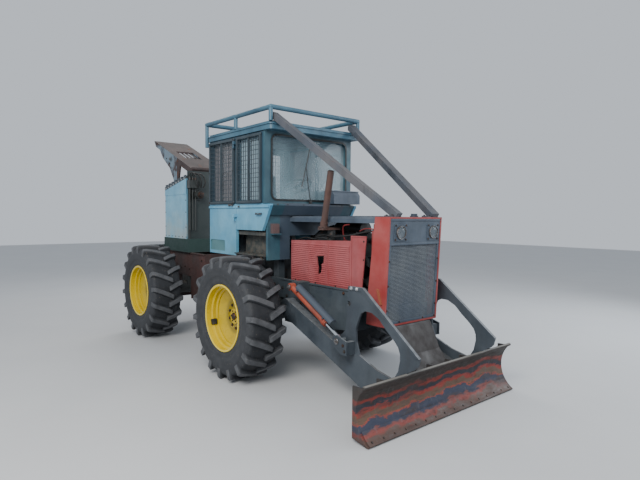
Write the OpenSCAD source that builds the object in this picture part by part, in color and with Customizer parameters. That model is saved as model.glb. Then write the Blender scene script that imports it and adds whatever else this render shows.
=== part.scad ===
// Articulated cable skidder, lengths in millimetres.
// Inside the modules X is counted from the front axle, forward is +X, the machine's left is +Y
// and the ground is Z = 0. Each node is then moved so that the origin lies under the middle.

/* [Wheels] */
// Distance between the front and the rear axle
wheelbase = 2728; // [2650:1:2850]
// Distance between the middle planes of the two tyres of an axle
track_w = 2070; // [2060:1:2140]
// Outside diameter of a tyre over its lugs
tyre_d = 1470; // [1420:1:1500]
// Width of a tyre
tyre_w = 470; // [440:1:480]
// Number of lugs on each half of a tyre
lug_n = 22; // [18:1:22]
// Height of the tread lugs
lug_h = 42; // [30:1:50]
// Angle by which a lug's outer end trails its inner end
lug_sweep = 18; // [10:1:24]
// How far the lugs of each half reach over the middle plane
lug_cross = 45; // [20:1:60]
// Diameter over the flanges of a rim
rim_d = 800; // [780:1:830]
// Width of a rim over its flanges
rim_w = 430; // [400:1:435]
// Thickness of the rim's steel
rim_t = 12; // [8:1:16]
// Radius of a wheel hub
hub_r = 140; // [120:1:150]

/* [Front frame] */
// Width over the side plates of the front frame
frame_w = 950; // [920:1:980]
// Thickness of the frame's side plates
frame_t = 25; // [16:1:32]
// Height of the top edge of the front frame
frame_top_z = 1170; // [1150:1:1185]
// Height of the bottom edge of the frame between the axles
frame_low_z = 560; // [520:1:600]
// How far the front frame reaches ahead of the front axle
frame_front_x = 1480; // [1430:1:1490]
// Radius of the articulation pins
hinge_r = 40; // [32:1:46]
// Thickness of each plate of the articulation hinge
hinge_t = 40; // [30:1:45]

/* [Engine and bonnet] */
// Width over the bonnet's side panels
bonnet_w = 840; // [820:1:860]
// Height of the bonnet's top
bonnet_z = 1948; // [1930:1:1960]
// Thickness of the bonnet's sheet
sheet_t = 6; // [4:1:10]
// Front of the radiator guard at its top
guard_x = 1900; // [1880:1:1930]
// How far the guard's bottom lies behind its top
guard_lean = 55; // [30:1:70]
// Height of the radiator guard's lower edge
guard_low_z = 830; // [800:1:860]
// Distance from one louvre to the next
louvre_pitch = 22.5; // [18:0.5:30]
// How far a louvre stands out of its panel
louvre_h = 8; // [4:1:12]
// Distance between the bars of the grille
grille_pitch = 54; // [40:1:80]
// Width of a bar of the grille
grille_bar = 14; // [8:1:20]
// Radius of the lamps in the grille
lamp_r = 62; // [50:1:75]
// Number of cylinders of the engine
cylinder_n = 6; // [3:1:6]

/* [Cab] */
// Width over the cab's side walls
cab_w = 1430; // [1400:1:1450]
// Front face of the windshield wall
cab_front_x = 126; // [110:1:140]
// Rear face of the cab
cab_rear_x = -1300; // [-1310:1:-1290]
// Thickness of the cab's walls and doors
wall_t = 40; // [30:1:50]
// Height of the cab floor's upper face
floor_z = 1740; // [1720:1:1745]
// Height of the underside of the roof
eave_z = 2990; // [2970:1:3010]
// Thickness of the roof
roof_t = 95; // [80:1:110]
// Height of the top of the rail above the roof
rail_top_z = 3279; // [3260:1:3300]
// Diameter of the roof rail
rail_d = 60; // [50:1:70]
// Distance between the bars of the window guards
screen_pitch = 76; // [60:1:120]
// Width of a bar of the window guards
screen_bar = 6; // [4:1:12]

/* [Blade] */
// Distance from the front axle to the axis of the blade's hollow face
blade_x = 2526; // [2500:1:2560]
// Width of the blade
blade_w = 2330; // [2280:1:2400]
// Radius of the blade's hollow face
blade_r = 309; // [300:1:320]
// Thickness of the blade's skin
blade_t = 16; // [12:1:20]
// Height of the blade's lower edge above the ground
blade_low_z = 10; // [5:1:20]
// Room between the front frame and a push beam
arm_gap = 25; // [20:1:40]
// Width of a push beam
beam_w = 100; // [80:1:110]
// Thickness of an arm plate
arm_t = 25; // [20:1:28]

/* [Rear frame] */
// Width over the side plates of the rear frame
rear_w = 900; // [880:1:930]
// Half width of the winch tower
tower_half_w = 500; // [480:1:520]
// Half width of the arch head
head_half_w = 335; // [320:1:350]
// Length of the arch head
head_len = 1600; // [1570:1:1630]
// Height of the arch head at its rear tip
head_rear_z = 3390; // [3370:1:3400]
// Diameter of the winch rope
rope_d = 19; // [14:1:24]

/* [Hidden] */
$fn = 48;

// Play: a pin in its bore, parts of one wheel, and moving parts that pass each other
pin_play = 0.1;
seat_gap = 0.3;
run_gap = 6;

// Colours that several pieces share
steel_blue = [0.24, 0.28, 0.30];
faded_red = [0.72, 0.18, 0.16];
dark_teal = [0.12, 0.29, 0.30];
door_blue = [0.35, 0.58, 0.62];
clear_glass = [0.6, 0.75, 0.8, 0.4];

axle_z = tyre_d / 2;
tyre_y = track_w / 2;
hinge_x = -wheelbase / 2;
frame_rear_x = hinge_x + 314;
hinge_root_x = hinge_x + 664;
hinge_z = [610, 1120];
front_half = frame_w / 2;
front_inner = front_half - frame_t;
rear_half = rear_w / 2;
rear_front_x = hinge_x - 626;
rear_end_x = -wheelbase - 760;
rear_top_z = 1330;

// Blade: height of its hollow face's axis, and the angles of its upper and lower edge
blade_z = blade_low_z + 266;
blade_top_a = 132.6;
blade_low_a = 239.5;
blade_back_x = blade_x - 354;
blade_mid_r = blade_r + blade_t / 2;
blade_top = [blade_x + blade_mid_r * cos(blade_top_a), blade_z + blade_mid_r * sin(blade_top_a)];
blade_bar_r = 16;
// Where the arms swing, where the beam ends at the blade, and the front tip of an arm plate
pivot = [420, 850];
pivot_r = 35;
beam_end = [blade_x - 260, 119];
beam_slope = atan2(pivot[1] - beam_end[1], beam_end[0] - pivot[0]);
beam_len = norm(beam_end - pivot);
beam_h = 205;
beam_y = front_half + arm_gap;
plate_y = beam_y + beam_w;
arm_y = plate_y + arm_t;
tip = [blade_x - 66, 690];

// Opening of an arm plate: its rear and front end, and its outline from 0 at the rear to 1
opening_x = [1645, blade_x - 291];
arm_opening = [
    [0, 812], [0.08, 933], [0.127, 985], [0.22, 1016], [0.381, 1012], [0.542, 965], [0.698, 880],
    [0.856, 805], [0.954, 747], [0.995, 690], [1, 623], [0.961, 520], [0.861, 424], [0.475, 470],
    [0.09, 560], [0.017, 680]];

// Lift cylinder: barrel eye, rod eye, both as X and Z, and its middle plane
lift_eye = [640, 1135];
lift_rod_eye = [1500, 680];
lift_y = arm_y + 55;
lift_len = norm(lift_rod_eye - lift_eye);
lift_tilt = atan2(lift_eye[1] - lift_rod_eye[1], lift_rod_eye[0] - lift_eye[0]);
lift_barrel_len = 700;
lift_pin_r = 25;
lift_rod_r = 20;

// Steering cylinder: barrel eye on the front frame, rod eye on the rear frame, both as X and Y
steer_z = 865;
steer_eye = [hinge_x + 700, 260];
steer_rod_eye = [hinge_x - 130, 225];
steer_len = norm(steer_rod_eye - steer_eye);
steer_turn = atan2(steer_eye[1] - steer_rod_eye[1], steer_eye[0] - steer_rod_eye[0]);
steer_barrel_len = 560;
steer_pin_r = 22;
steer_rod_r = 19;

// Tower and arch on the rear frame
tower_front_x = rear_front_x - 570;
tower_rear_x = tower_front_x - 880;
deck_z = 1555;
tower_top_z = [2605, 2450];
fold_z = 2300;
head_front = [tower_front_x - 170, 2755];
head_rear = [head_front[0] - head_len, head_rear_z];
head_t = 25;
drum = [tower_front_x - 510, 1950];
drum_shaft_r = 45;
roller = [tower_front_x - 1000, 2975];
roller_shaft_r = 20;

// Cab: the gap behind the doors, the doors' hinges, window sills and side windows in X and Z
door_gap_x = -556;
door_hinge_y = cab_w / 2 + 45;
door_hinge_z = [1880, 2830];
sill_z = 2095;
cowl_x = cab_front_x + 119;
window_z = [2150, 2935];
rear_window_x = [-1225, -620];
door_window_x = [-505, 30];
side_low_z = 1420;
roof_y = cab_w / 2 + 33;
roof_x = [cab_rear_x - 40, cab_front_x + 158];

lamp_y = [-240, 280];
lamp_z = 1788;
shift_x = -(tip[0] + head_rear[0]) / 2;

// Moves what is drawn from the front axle to the place of the whole machine
module on_machine() { translate([shift_x, 0, 0]) children(); }

// Extrudes an outline drawn in X and Z from y0 to y1
module slab_xz(y0, y1) {
    translate([0, y1, 0]) rotate([90, 0, 0]) linear_extrude(y1 - y0) children();
}

// Extrudes an outline drawn in Y and Z from x0 to x1
module slab_yz(x0, x1) {
    translate([x0, 0, 0]) rotate([90, 0, 90]) linear_extrude(x1 - x0) children();
}

// A box from one corner to the opposite one
module box(a, b) { translate(a) cube(b - a); }

// Round bars along X and along Y, given by their middle line
module bar_x(y, z, r, x0, x1) {
    translate([x0, y, z]) rotate([0, 90, 0]) cylinder(r = r, h = x1 - x0);
}
module bar_y(x, z, r, y0, y1) {
    translate([x, y1, z]) rotate([90, 0, 0]) cylinder(r = r, h = y1 - y0);
}

// The same thing on the machine's right and left
module both_sides() {
    children();
    mirror([0, 1, 0]) children();
}

// A rectangle with round corners, from corner a to corner b
module round_rect(a, b, r) {
    union() {
        translate([a[0] + r, a[1]]) square([b[0] - a[0] - 2 * r, b[1] - a[1]]);
        translate([a[0], a[1] + r]) square([b[0] - a[0], b[1] - a[1] - 2 * r]);
        for (x = [a[0] + r, b[0] - r], y = [a[1] + r, b[1] - r]) translate([x, y]) circle(r);
    }
}

// A frame of bars from corner a to corner b: a rim and crossing bars at about the pitch
module bar_mesh(a, b, rim, bar, pitch) {
    size = b - a;
    count = [floor((size[0] - 2 * rim) / pitch), floor((size[1] - 2 * rim) / pitch)];
    step = [(size[0] - 2 * rim) / count[0], (size[1] - 2 * rim) / count[1]];
    difference() {
        translate(a) square(size);
        translate(a + [rim, rim]) square(size - [2 * rim, 2 * rim]);
    }
    for (i = [1:count[0] - 1])
        translate([a[0] + rim + i * step[0] - bar / 2, a[1]]) square([bar, size[1]]);
    for (i = [1:count[1] - 1])
        translate([a[0], a[1] + rim + i * step[1] - bar / 2]) square([size[0], bar]);
}

// Wheels

// The four lines along a lug, as shares of the pitch: its top from 0 to 1, the groove from 2 to 3
lug_line = [0, 0.367, 0.5, 0.867];
lug_lines = 4 * lug_n;
tyre_low_r = tyre_d / 2 - lug_h;
shoulder_z = tyre_w * 0.43;
bead_z = rim_w / 2 - 14 - seat_gap;
flange_r = (rim_d / 2 + seat_gap) / cos(90 / lug_n);
bead_r = (rim_d / 2 - 13.5) / cos(180 / lug_n);

// Half of the tyre's section, from the middle plane round the outside to the crown's inside:
// points on the ring, radius on a lug, radius in a groove, height over the middle plane,
// angle at which it trails, and how far the lugs cross the middle plane
tyre_rows = [
    [lug_lines, tyre_d / 2, tyre_low_r, 10, -lug_sweep * 0.18, lug_cross],
    [lug_lines, tyre_d / 2 - 8, tyre_low_r - 12, shoulder_z, lug_sweep * 0.82, 0],
    [2 * lug_n, 0, tyre_low_r - 53, tyre_w / 2, lug_sweep * 0.82, 0],
    [2 * lug_n, 0, flange_r, bead_z, lug_sweep * 0.82, 0],
    [lug_n, 0, bead_r, bead_z, lug_sweep * 0.82, 0],
    [lug_n, 0, bead_r, bead_z - 50, lug_sweep * 0.82, 0],
    [lug_n, 0, tyre_low_r - 46, bead_z - 20, lug_sweep * 0.82, 0],
];
function other_half(q) = [q[0], q[1], q[2], -q[3], q[4], q[5]];
tyre_rings = concat(
    [[lug_lines, tyre_low_r, tyre_low_r, 0, -lug_sweep * 0.18, lug_cross]],
    tyre_rows,
    [for (i = [len(tyre_rows) - 1:-1:0]) other_half(tyre_rows[i])]);

// Points of one ring. A lug of the upper half stands beside a groove of the lower one.
function ring_points(q) = [for (k = [0:q[0] - 1]) let(
    full = q[0] == lug_lines,
    upper = k % 4 < 2,
    a = (full ? (floor(k / 4) + lug_line[k % 4]) / lug_n : (k + 0.18) / q[0]) * 360 + q[4],
    r = full && upper == (q[3] > 0) ? q[1] : q[2])
    [r * cos(a), r * sin(a), q[3] + (full ? (upper ? -q[5] : q[5]) : 0)]];

// Triangles between a ring of n points that starts at a, and the next one, of m points, at b
function stitch(a, n, b, m) =
    n == m ? [for (k = [0:n - 1]) each [
        [a + (k + 1) % n, a + k, b + k], [b + (k + 1) % n, a + (k + 1) % n, b + k]]]
    : n > m ? [for (k = [0:m - 1]) each [
        [a + 2 * k + 1, a + 2 * k, b + k],
        [a + (2 * k + 2) % n, a + 2 * k + 1, b + (k + 1) % m],
        [b + (k + 1) % m, a + 2 * k + 1, b + k]]]
    : [for (f = stitch(b, m, a, n)) [f[0], f[2], f[1]]];
function ring_start(i) = i == 0 ? 0 : ring_start(i - 1) + tyre_rings[i - 1][0];

// The tyre with its lugs. Its beads sit in the rim's flanges.
module tyre() {
    rings = len(tyre_rings);
    polyhedron(
        points = [for (q = tyre_rings) each ring_points(q)],
        faces = [for (i = [0:rings - 1]) let(next = (i + 1) % rings) each stitch(
            ring_start(i), tyre_rings[i][0], ring_start(next), tyre_rings[next][0])]);
}

// Half of the rim's barrel, outside: how far it lies inside the flange's radius, and its height
barrel_steps = [[14, 0.93], [14, 0.69], [36, 0.63], [36, 0.45], [58, 0.39]];

// The rim's stepped barrel with its flanges, the dished disc, and the hub with its bore
module rim() {
    r_out = rim_d / 2;
    half = rim_w / 2;
    disc_r = r_out - barrel_steps[4][0] - rim_t;
    outside = [for (q = barrel_steps) [r_out - q[0], q[1] * half]];
    inside = [for (q = barrel_steps) [r_out - q[0] - rim_t, q[1] * half - 4]];
    difference() {
        union() {
            rotate_extrude() polygon(concat(
                [[r_out - 8, half], [r_out, half - 6], [r_out, half - 14], [r_out - 14, half - 14]],
                outside,
                [for (i = [4:-1:0]) [outside[i][0], -outside[i][1]]],
                [[r_out - 14, -half + 14], [r_out, -half + 14], [r_out, -half + 6], [r_out - 8, -half]],
                [[r_out - 14 - rim_t, -half + 8]],
                [for (q = inside) [q[0], -q[1]]],
                [for (i = [4:-1:0]) inside[i]],
                [[r_out - 14 - rim_t, half - 8]]));
            rotate_extrude() polygon([
                [0, -10], [190, -10], [disc_r + 2, 46], [disc_r + 2, 64], [186, 8], [0, 8]]);
            translate([0, 0, -tyre_y + 845]) cylinder(r = hub_r, h = tyre_y - 845);
            cylinder(r = 92, h = 34);
        }
        translate([0, 0, -tyre_y + 840]) cylinder(r = 55 + pin_play, h = 175);
    }
}

// Puts a wheel, drawn round Z with its outer face up, on an axle at x
module at_wheel(x, side) {
    on_machine() translate([x, side * tyre_y, axle_z]) rotate([-side * 90, 0, 0]) children();
}

// The left tyres are mirrored, so that all lugs point the same way
module tyre_at(x, side) color([0.10, 0.10, 0.11]) at_wheel(x, side)
    mirror([0, side > 0 ? 1 : 0, 0]) tyre();
module rim_at(x, side) color([0.93, 0.76, 0.08]) at_wheel(x, side) rim();

module tyre_front_right() tyre_at(0, -1);
module tyre_front_left() tyre_at(0, 1);
module tyre_rear_right() tyre_at(-wheelbase, -1);
module tyre_rear_left() tyre_at(-wheelbase, 1);
module rim_front_right() rim_at(0, -1);
module rim_front_left() rim_at(0, 1);
module rim_rear_right() rim_at(-wheelbase, -1);
module rim_rear_left() rim_at(-wheelbase, 1);

// An axle: the housing as one turned shape, the differential's nose and the spindles
module axle(x, nose_side) {
    end = 845 - run_gap;
    translate([x, 0, axle_z]) {
        rotate([90, 0, 0]) {
            rotate_extrude() polygon(concat(
                [for (q = [[-1, 0], [-1, 100], [-0.86, 100], [-0.86, 135], [-0.74, 135], [-0.70, 92],
                    [-0.36, 104], [-0.18, 172], [0.18, 172], [0.36, 104], [0.70, 92], [0.74, 135],
                    [0.86, 135], [0.86, 100], [1, 100], [1, 0]]) [q[1], q[0] * end]]));
            cylinder(r = 55, h = 2 * 1005, center = true);
        }
        bar_x(0, 0, 78, nose_side > 0 ? 0 : -212, nose_side > 0 ? 212 : 0);
    }
}

module front_axle() {
    color([0.20, 0.24, 0.24]) on_machine() {
        axle(0, -1);
        both_sides() box([-110, front_inner - 40, axle_z], [110, front_half, 930]);
    }
}

module rear_axle() {
    color([0.20, 0.24, 0.24]) on_machine() {
        axle(-wheelbase, 1);
        both_sides() box([-wheelbase - 110, rear_half - 60, axle_z], [-wheelbase + 110, rear_half, 930]);
    }
}

// Front frame

module hinge_plate(x0, half, z, thick) {
    translate([0, 0, z - thick / 2]) linear_extrude(thick) difference() {
        union() {
            polygon([[x0, -half], [x0, half], [hinge_x, 90], [hinge_x, -90]]);
            translate([hinge_x, 0]) circle(90);
        }
        children();
    }
}

module front_frame() {
    inner = front_inner;
    low_front = [620, 640];
    color([0.30, 0.36, 0.36]) on_machine() {
        both_sides() slab_xz(inner, front_half) polygon([
            [frame_rear_x, frame_low_z], [-220, frame_low_z], [-220, 930], [220, 930], [220, low_front[1]],
            low_front, [frame_front_x, 740], [frame_front_x, frame_top_z], [frame_rear_x, frame_top_z]]);
        for (z = hinge_z) hinge_plate(hinge_root_x, inner + 5, z, hinge_t)
            translate([hinge_x, 0]) circle(hinge_r + pin_play);
        // Cross plates: front, below the engine, behind the axle, and the belly plate
        box([frame_front_x - 25, -inner, 740], [frame_front_x, inner, frame_top_z]);
        box([230, -inner, low_front[1]], [low_front[0], inner, low_front[1] + 25]);
        box([-245, -inner, frame_low_z], [-220, inner, 820]);
        box([hinge_root_x, -inner, frame_low_z], [-245, inner, frame_low_z + 16]);
        // Nose plate below the radiator guard, bent forward at its foot
        slab_xz(-280, 280) polygon([
            [frame_front_x, 770], [1860, 812], [1985, 545], [2110, 385], [2126, 398],
            [2004, 553], [1872, 828], [frame_front_x, 790]]);
        both_sides() {
            // Top flange along the engine bay
            box([cab_front_x, front_half, frame_top_z - 16], [frame_front_x, front_half + 14, frame_top_z]);
            // Pin that carries the push arm, with its boss plate
            bar_y(pivot[0], pivot[1], pivot_r, front_half, arm_y + 12);
            bar_y(pivot[0], pivot[1], 95, front_half, front_half + 14);
            // Ears of the lift cylinder
            box([lift_eye[0] - 70, front_half, 1060], [lift_eye[0] + 70, lift_y - 50, 1185]);
            bar_y(lift_eye[0], lift_eye[1], lift_pin_r, lift_y - 50, lift_y + 45);
            // Ears of the steering cylinder
            for (z = [steer_z - 70, steer_z + 46])
                box([steer_eye[0] - 50, steer_eye[1] - 50, z], [steer_eye[0] + 60, inner, z + 24]);
            translate([steer_eye[0], steer_eye[1], steer_z - 50]) cylinder(r = steer_pin_r, h = 100);
            // Cab mounts
            for (x = [-900, -60])
                box([x, inner - 90, frame_top_z - 60], [x + 110, inner, floor_z - wall_t]);
        }
    }
}

// The open engine: block and sump, head, rocker cover, manifold, air cleaner, gearbox
module engine() {
    x0 = 380;
    x1 = 1290;
    bay = (x1 - x0) / cylinder_n;
    head_z = 1640;
    manifold = [-262, 1612];
    color([0.20, 0.21, 0.22]) on_machine() {
        slab_yz(x0 - 40, x1 + 40) polygon([
            [-150, 800], [150, 800], [215, 900], [230, 960], [230, 1500], [-230, 1500], [-230, 960],
            [-215, 900]]);
        box([x0, -172, 1500], [x1, 172, head_z]);
        // Rocker cover with sloping shoulders, one filler cap and its bolts' strip
        box([x0 + 15, -128, head_z], [x1 - 15, 128, head_z + 14]);
        slab_yz(x0 + 30, x1 - 30) polygon([
            [-112, head_z + 14], [112, head_z + 14], [104, head_z + 92], [72, head_z + 118],
            [-72, head_z + 118], [-104, head_z + 92]]);
        translate([x1 - 190, 0, head_z + 118]) cylinder(r = 38, h = 34);
        for (i = [0:cylinder_n - 1]) let(x = x0 + (i + 0.5) * bay) {
            // Exhaust branch on the right, inlet branch on the left
            bar_y(x, manifold[1] - 12, 27, manifold[0], -170);
            box([x - 40, -190, manifold[1] - 52], [x + 40, -172, manifold[1] + 26]);
            bar_y(x, manifold[1] + 4, 24, 170, 232);
        }
        // Exhaust manifold with the riser under the pipe, inlet manifold, air cleaner
        bar_x(manifold[0], manifold[1], 42, x0 + 30, x1 - 30);
        translate([850, manifold[0], manifold[1]]) cylinder(r = 46, h = 1790 - manifold[1]);
        bar_x(232, manifold[1] + 4, 38, x0 + 40, x1 - 40);
        bar_x(232, 1790, 92, x0 + 60, x0 + 520);
        bar_x(232, 1790, 97, x0 + 500, x0 + 540);
        bar_x(232, 1790, 46, x0 - 60, x0 + 60);
        for (x = [x0 + 130, x0 + 400]) box([x, 150, head_z - 30], [x + 30, 232, 1760]);
        // Fan with its hub and belt pulley ahead of the block
        bar_x(0, 1330, 60, x1 + 40, 1420);
        bar_x(0, 1330, 110, 1362, 1386);
        for (a = [0:60:300]) translate([1398, 0, 1330]) rotate([a, 0, 0])
            translate([0, 0, 40]) rotate([0, 0, 28]) box([-3, -62, 0], [3, 62, 225]);
        // Gearbox and its bell
        slab_yz(-640, x0 - 80) polygon([
            [-140, 960], [140, 960], [200, 1030], [200, 1440], [120, 1560], [-120, 1560], [-200, 1440],
            [-200, 1030]]);
        bar_x(0, 1230, 225, x0 - 80, x0 - 40);
        // Feet on the frame's side plates
        for (x = [470, 1150]) both_sides() box([x, 200, 960], [x + 110, front_inner, 1000]);
        both_sides() box([-420, 180, 1100], [-310, front_inner, 1140]);
    }
}

// Bonnet of one bent sheet, with a raised strip along its middle
module bonnet() {
    x1 = guard_x - 210;
    half = 330;
    fold = 24;
    color(steel_blue) on_machine() difference() {
        union() {
            slab_yz(cab_front_x, x1) polygon([
                [-half, bonnet_z - 70], [-half, bonnet_z - fold], [-half + fold, bonnet_z],
                [half - fold, bonnet_z], [half, bonnet_z - fold], [half, bonnet_z - 70]]);
            box([cab_front_x + 120, -34, bonnet_z], [x1 - 60, 34, bonnet_z + 7]);
        }
        slab_yz(cab_front_x - 1, x1 + 1) polygon([
            [-half + sheet_t, bonnet_z - 71], [-half + sheet_t, bonnet_z - fold - 3],
            [-half + fold + 3, bonnet_z - sheet_t], [half - fold - 3, bonnet_z - sheet_t],
            [half - sheet_t, bonnet_z - fold - 3], [half - sheet_t, bonnet_z - 71]]);
    }
}

// One bank of louvres: a row of slanted edges that stand out of the panel from x0 to x1
module louvre_bank(x0, x1, z0, rows, y) {
    slab_yz(x0, x1) polygon(concat(
        [for (i = [0:rows - 1]) each [
            [y, z0 + i * louvre_pitch], [y + louvre_h, z0 + i * louvre_pitch + 3],
            [y, z0 + (i + 0.82) * louvre_pitch]]],
        [[y - 4, z0 + rows * louvre_pitch], [y - 4, z0]]));
}

// One side panel: three banks of louvres at the rear, smooth at the front
module louvre_panel() {
    y0 = front_half - 25;
    y1 = front_half - 14;
    first = 345;
    last = 1385;
    rows = floor((1650 - frame_top_z - 25) / louvre_pitch);
    bank = (last - first) / 3;
    slab_xz(y0, y1) polygon([
        [330, frame_top_z], [frame_front_x, frame_top_z], [1560, frame_top_z + 20], [1620, 1745],
        [1395, 1745], [1395, 1690], [330, 1655]]);
    for (i = [0:2])
        louvre_bank(first + i * bank, first + (i + 1) * bank - 14, frame_top_z + 18, rows, y1);
    // Folded edge between the louvres and the smooth part, and along the front
    slab_xz(y1, y1 + 6) polygon([
        [1395, frame_top_z], [1407, frame_top_z], [1407, 1733], [1608, 1733], [1620, 1745], [1395, 1745]]);
}

module louvre_panels() {
    color(faded_red) on_machine() {
        louvre_panel_left();
        louvre_panel_right();
    }
}
module louvre_panel_left() louvre_panel();

// The right panel is torn open
module louvre_panel_right() {
    mirror([0, 1, 0]) difference() {
        louvre_panel();
        slab_xz(front_half - 60, front_half + 20) polygon([
            [822, 1492], [955, 1500], [948, 1425], [914, 1402], [918, 1352], [898, 1296], [846, 1284],
            [852, 1360], [838, 1405]]);
    }
}

// The guard's leaning front line: X for a height
function guard_front(z) = guard_x - guard_lean * (bonnet_z - z) / (bonnet_z - guard_low_z);
lean_angle = atan2(guard_lean, bonnet_z - guard_low_z);

// Draws in the guard's leaning front plane: Y, and Z counted down from the bonnet's top
module on_guard() {
    translate([guard_x, 0, bonnet_z]) rotate([0, lean_angle, 0]) children();
}

module radiator_guard() {
    half = bonnet_w / 2;
    t = 18;
    color(faded_red) on_machine() {
        both_sides() {
            slab_xz(half - t, half) polygon([
                [1700, bonnet_z], [guard_x, bonnet_z], [guard_front(guard_low_z), guard_low_z],
                [1590, guard_low_z], [1612, frame_top_z]]);
            // Latch on the side plate
            slab_xz(half, half + 12) polygon([
                [1738, 1215], [1768, 1215], [1815, 1060], [1785, 1060]]);
        }
        box([1690, -half + t, bonnet_z - t], [guard_x - 2, half - t, bonnet_z]);
        box([1590, -half + t, guard_low_z], [guard_front(guard_low_z) - 2, half - t, guard_low_z + t]);
        // Radiator with its header tanks
        box([1640, -half + t, 1000], [1710, half - t, 1800]);
        box([1625, -half + t + 40, 1800], [1725, half - t - 40, 1870]);
        box([1625, -half + t + 40, 930], [1725, half - t - 40, 1000]);
        // Filler cap
        translate([1826, 40, bonnet_z]) {
            cylinder(r = 44, h = 14);
            cylinder(r = 34, h = 34);
        }
    }
}

// Grille in the leaning plane: bars below, a closed field with two lamps above
module grille() {
    half = bonnet_w / 2 - 18;
    top = -20;
    split = -290;
    low = -(bonnet_z - guard_low_z) / cos(lean_angle) + 20;
    color(steel_blue) on_machine() on_guard() {
        slab_yz(-30, -6) {
            bar_mesh([-half, low], [half, split + 30], 30, grille_bar, grille_pitch);
            translate([-half, split]) square([2 * half, top - split]);
        }
        for (y = lamp_y) translate([0, y, lamp_z - bonnet_z]) {
            box([-6, -96, -90], [2, 96, 90]);
            difference() {
                bar_x(0, 0, lamp_r + 8, -6, 16);
                bar_x(0, 0, lamp_r, 8, 17);
            }
        }
    }
}

// Open pipe that leans back and outwards, on its flange
module exhaust_pipe() {
    color([0.40, 0.25, 0.20]) on_machine() {
        translate([850, -385, 1818]) cylinder(r = 58, h = 14);
        translate([850, -385, 1830]) rotate([7, 19, 0]) {
            difference() {
                cylinder(r = 37, h = 660);
                translate([0, 0, 520]) cylinder(r = 33, h = 141);
            }
            translate([0, 0, 6]) cylinder(r = 44, h = 50);
        }
        box([800, -430, 1790], [900, -170, 1818]);
    }
}

// Cab

module cab_floor() {
    half = cab_w / 2 - wall_t;
    well_y = half - 110;
    well_low_z = 1440;
    color([0.20, 0.30, 0.30]) on_machine() {
        box([cab_rear_x + wall_t, -half, floor_z - wall_t], [cab_front_x - wall_t, half, floor_z]);
        both_sides() {
            box([door_gap_x, well_y - 15, well_low_z], [cab_front_x - wall_t, well_y, floor_z - wall_t]);
            box([door_gap_x, well_y, well_low_z], [cab_front_x - wall_t, cab_w / 2 - 2, well_low_z + 22]);
            // Raised treads on the step
            for (x = [door_gap_x + 60:90:cab_front_x - wall_t - 60])
                box([x, well_y + 30, well_low_z + 22], [x + 20, cab_w / 2 - 20, well_low_z + 28]);
            // Step bars outside the well
            for (z = [1405, 1447]) box([door_gap_x - 30, cab_w / 2, z], [120, cab_w / 2 + 14, z + 12]);
            for (x = [door_gap_x, 30])
                box([x, cab_w / 2 - 30, 1405], [x + 20, cab_w / 2, well_low_z + 22]);
        }
    }
}

module cab_front_wall() {
    half = cab_w / 2;
    in_y = half - wall_t - run_gap;
    color(dark_teal) on_machine() {
        difference() {
            slab_yz(cab_front_x - wall_t, cab_front_x) union() {
                translate([-half, sill_z + 5]) square([2 * half, eave_z - sill_z - 5]);
                translate([-in_y, 1400]) square([2 * in_y, sill_z + 10 - 1400]);
            }
            slab_yz(cab_front_x - wall_t - 1, cab_front_x + 1) round_rect([-612, 2156], [612, 2945], 75);
            box([cab_front_x - wall_t - 1, -335, 1390], [cab_front_x + 1, 335, floor_z - wall_t]);
        }
        // Rubber seal round the windshield
        slab_yz(cab_front_x, cab_front_x + 8) difference() {
            round_rect([-630, 2138], [630, 2963], 90);
            round_rect([-606, 2162], [606, 2939], 70);
        }
        // Ledge under the windshield
        slab_xz(-in_y, in_y) polygon([
            [cab_front_x, bonnet_z + 12], [cab_front_x + 40, bonnet_z + 12], [cowl_x - 5, 2078],
            [cowl_x - 5, 2100], [cab_front_x, 2112]]);
        // Box on the wall beside the engine
        box([cab_front_x, -625, 1730], [cab_front_x + 50, -530, 1850]);
        box([cab_front_x, -630, 1718], [cab_front_x + 70, -515, 1730]);
    }
}

module cab_rear_wall() {
    half = cab_w / 2 - wall_t;
    color(dark_teal) on_machine() difference() {
        box([cab_rear_x, -half, side_low_z], [cab_rear_x + wall_t, half, eave_z]);
        slab_yz(cab_rear_x - 1, cab_rear_x + wall_t + 1) round_rect([-520, 2160], [520, 2900], 40);
        // Pressed panel below the window
        slab_yz(cab_rear_x - 1, cab_rear_x + 8) round_rect([-520, 1520], [520, 2060], 60);
    }
}

module cab_sides() {
    half = cab_w / 2;
    color(door_blue) on_machine() both_sides() {
        difference() {
            box([cab_rear_x, half - wall_t, side_low_z], [door_gap_x - 4, half, eave_z]);
            slab_xz(half - wall_t - 1, half + 1)
                round_rect([rear_window_x[0], window_z[0]], [rear_window_x[1], window_z[1]], 30);
            // Pressed panel low down
            slab_xz(half - 8, half + 1)
                round_rect([cab_rear_x + 24, side_low_z + 42], [-862, side_low_z + 190], 45);
        }
        // Rail under the window guard
        box([cab_rear_x, half, 2052], [door_gap_x - 10, half + 16, 2080]);
        // Pins and lower knuckles of the door hinges
        for (z = door_hinge_z) {
            translate([door_gap_x, door_hinge_y, z]) {
                cylinder(r = 13, h = 45);
                cylinder(r = 7, h = 95);
            }
            box([door_gap_x - 24, half, z], [door_gap_x - 4, door_hinge_y, z + 45]);
        }
    }
}

module cab_glass() {
    half = cab_w / 2 - wall_t;
    color(clear_glass) on_machine() {
        box([cab_front_x - wall_t - 6, -640, 2130], [cab_front_x - wall_t, 640, 2970]);
        box([cab_rear_x + wall_t, -550, 2130], [cab_rear_x + wall_t + 6, 550, 2930]);
        both_sides() box([rear_window_x[0] - 25, half - 6, 2125], [rear_window_x[1] + 20, half, 2960]);
    }
}

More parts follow.
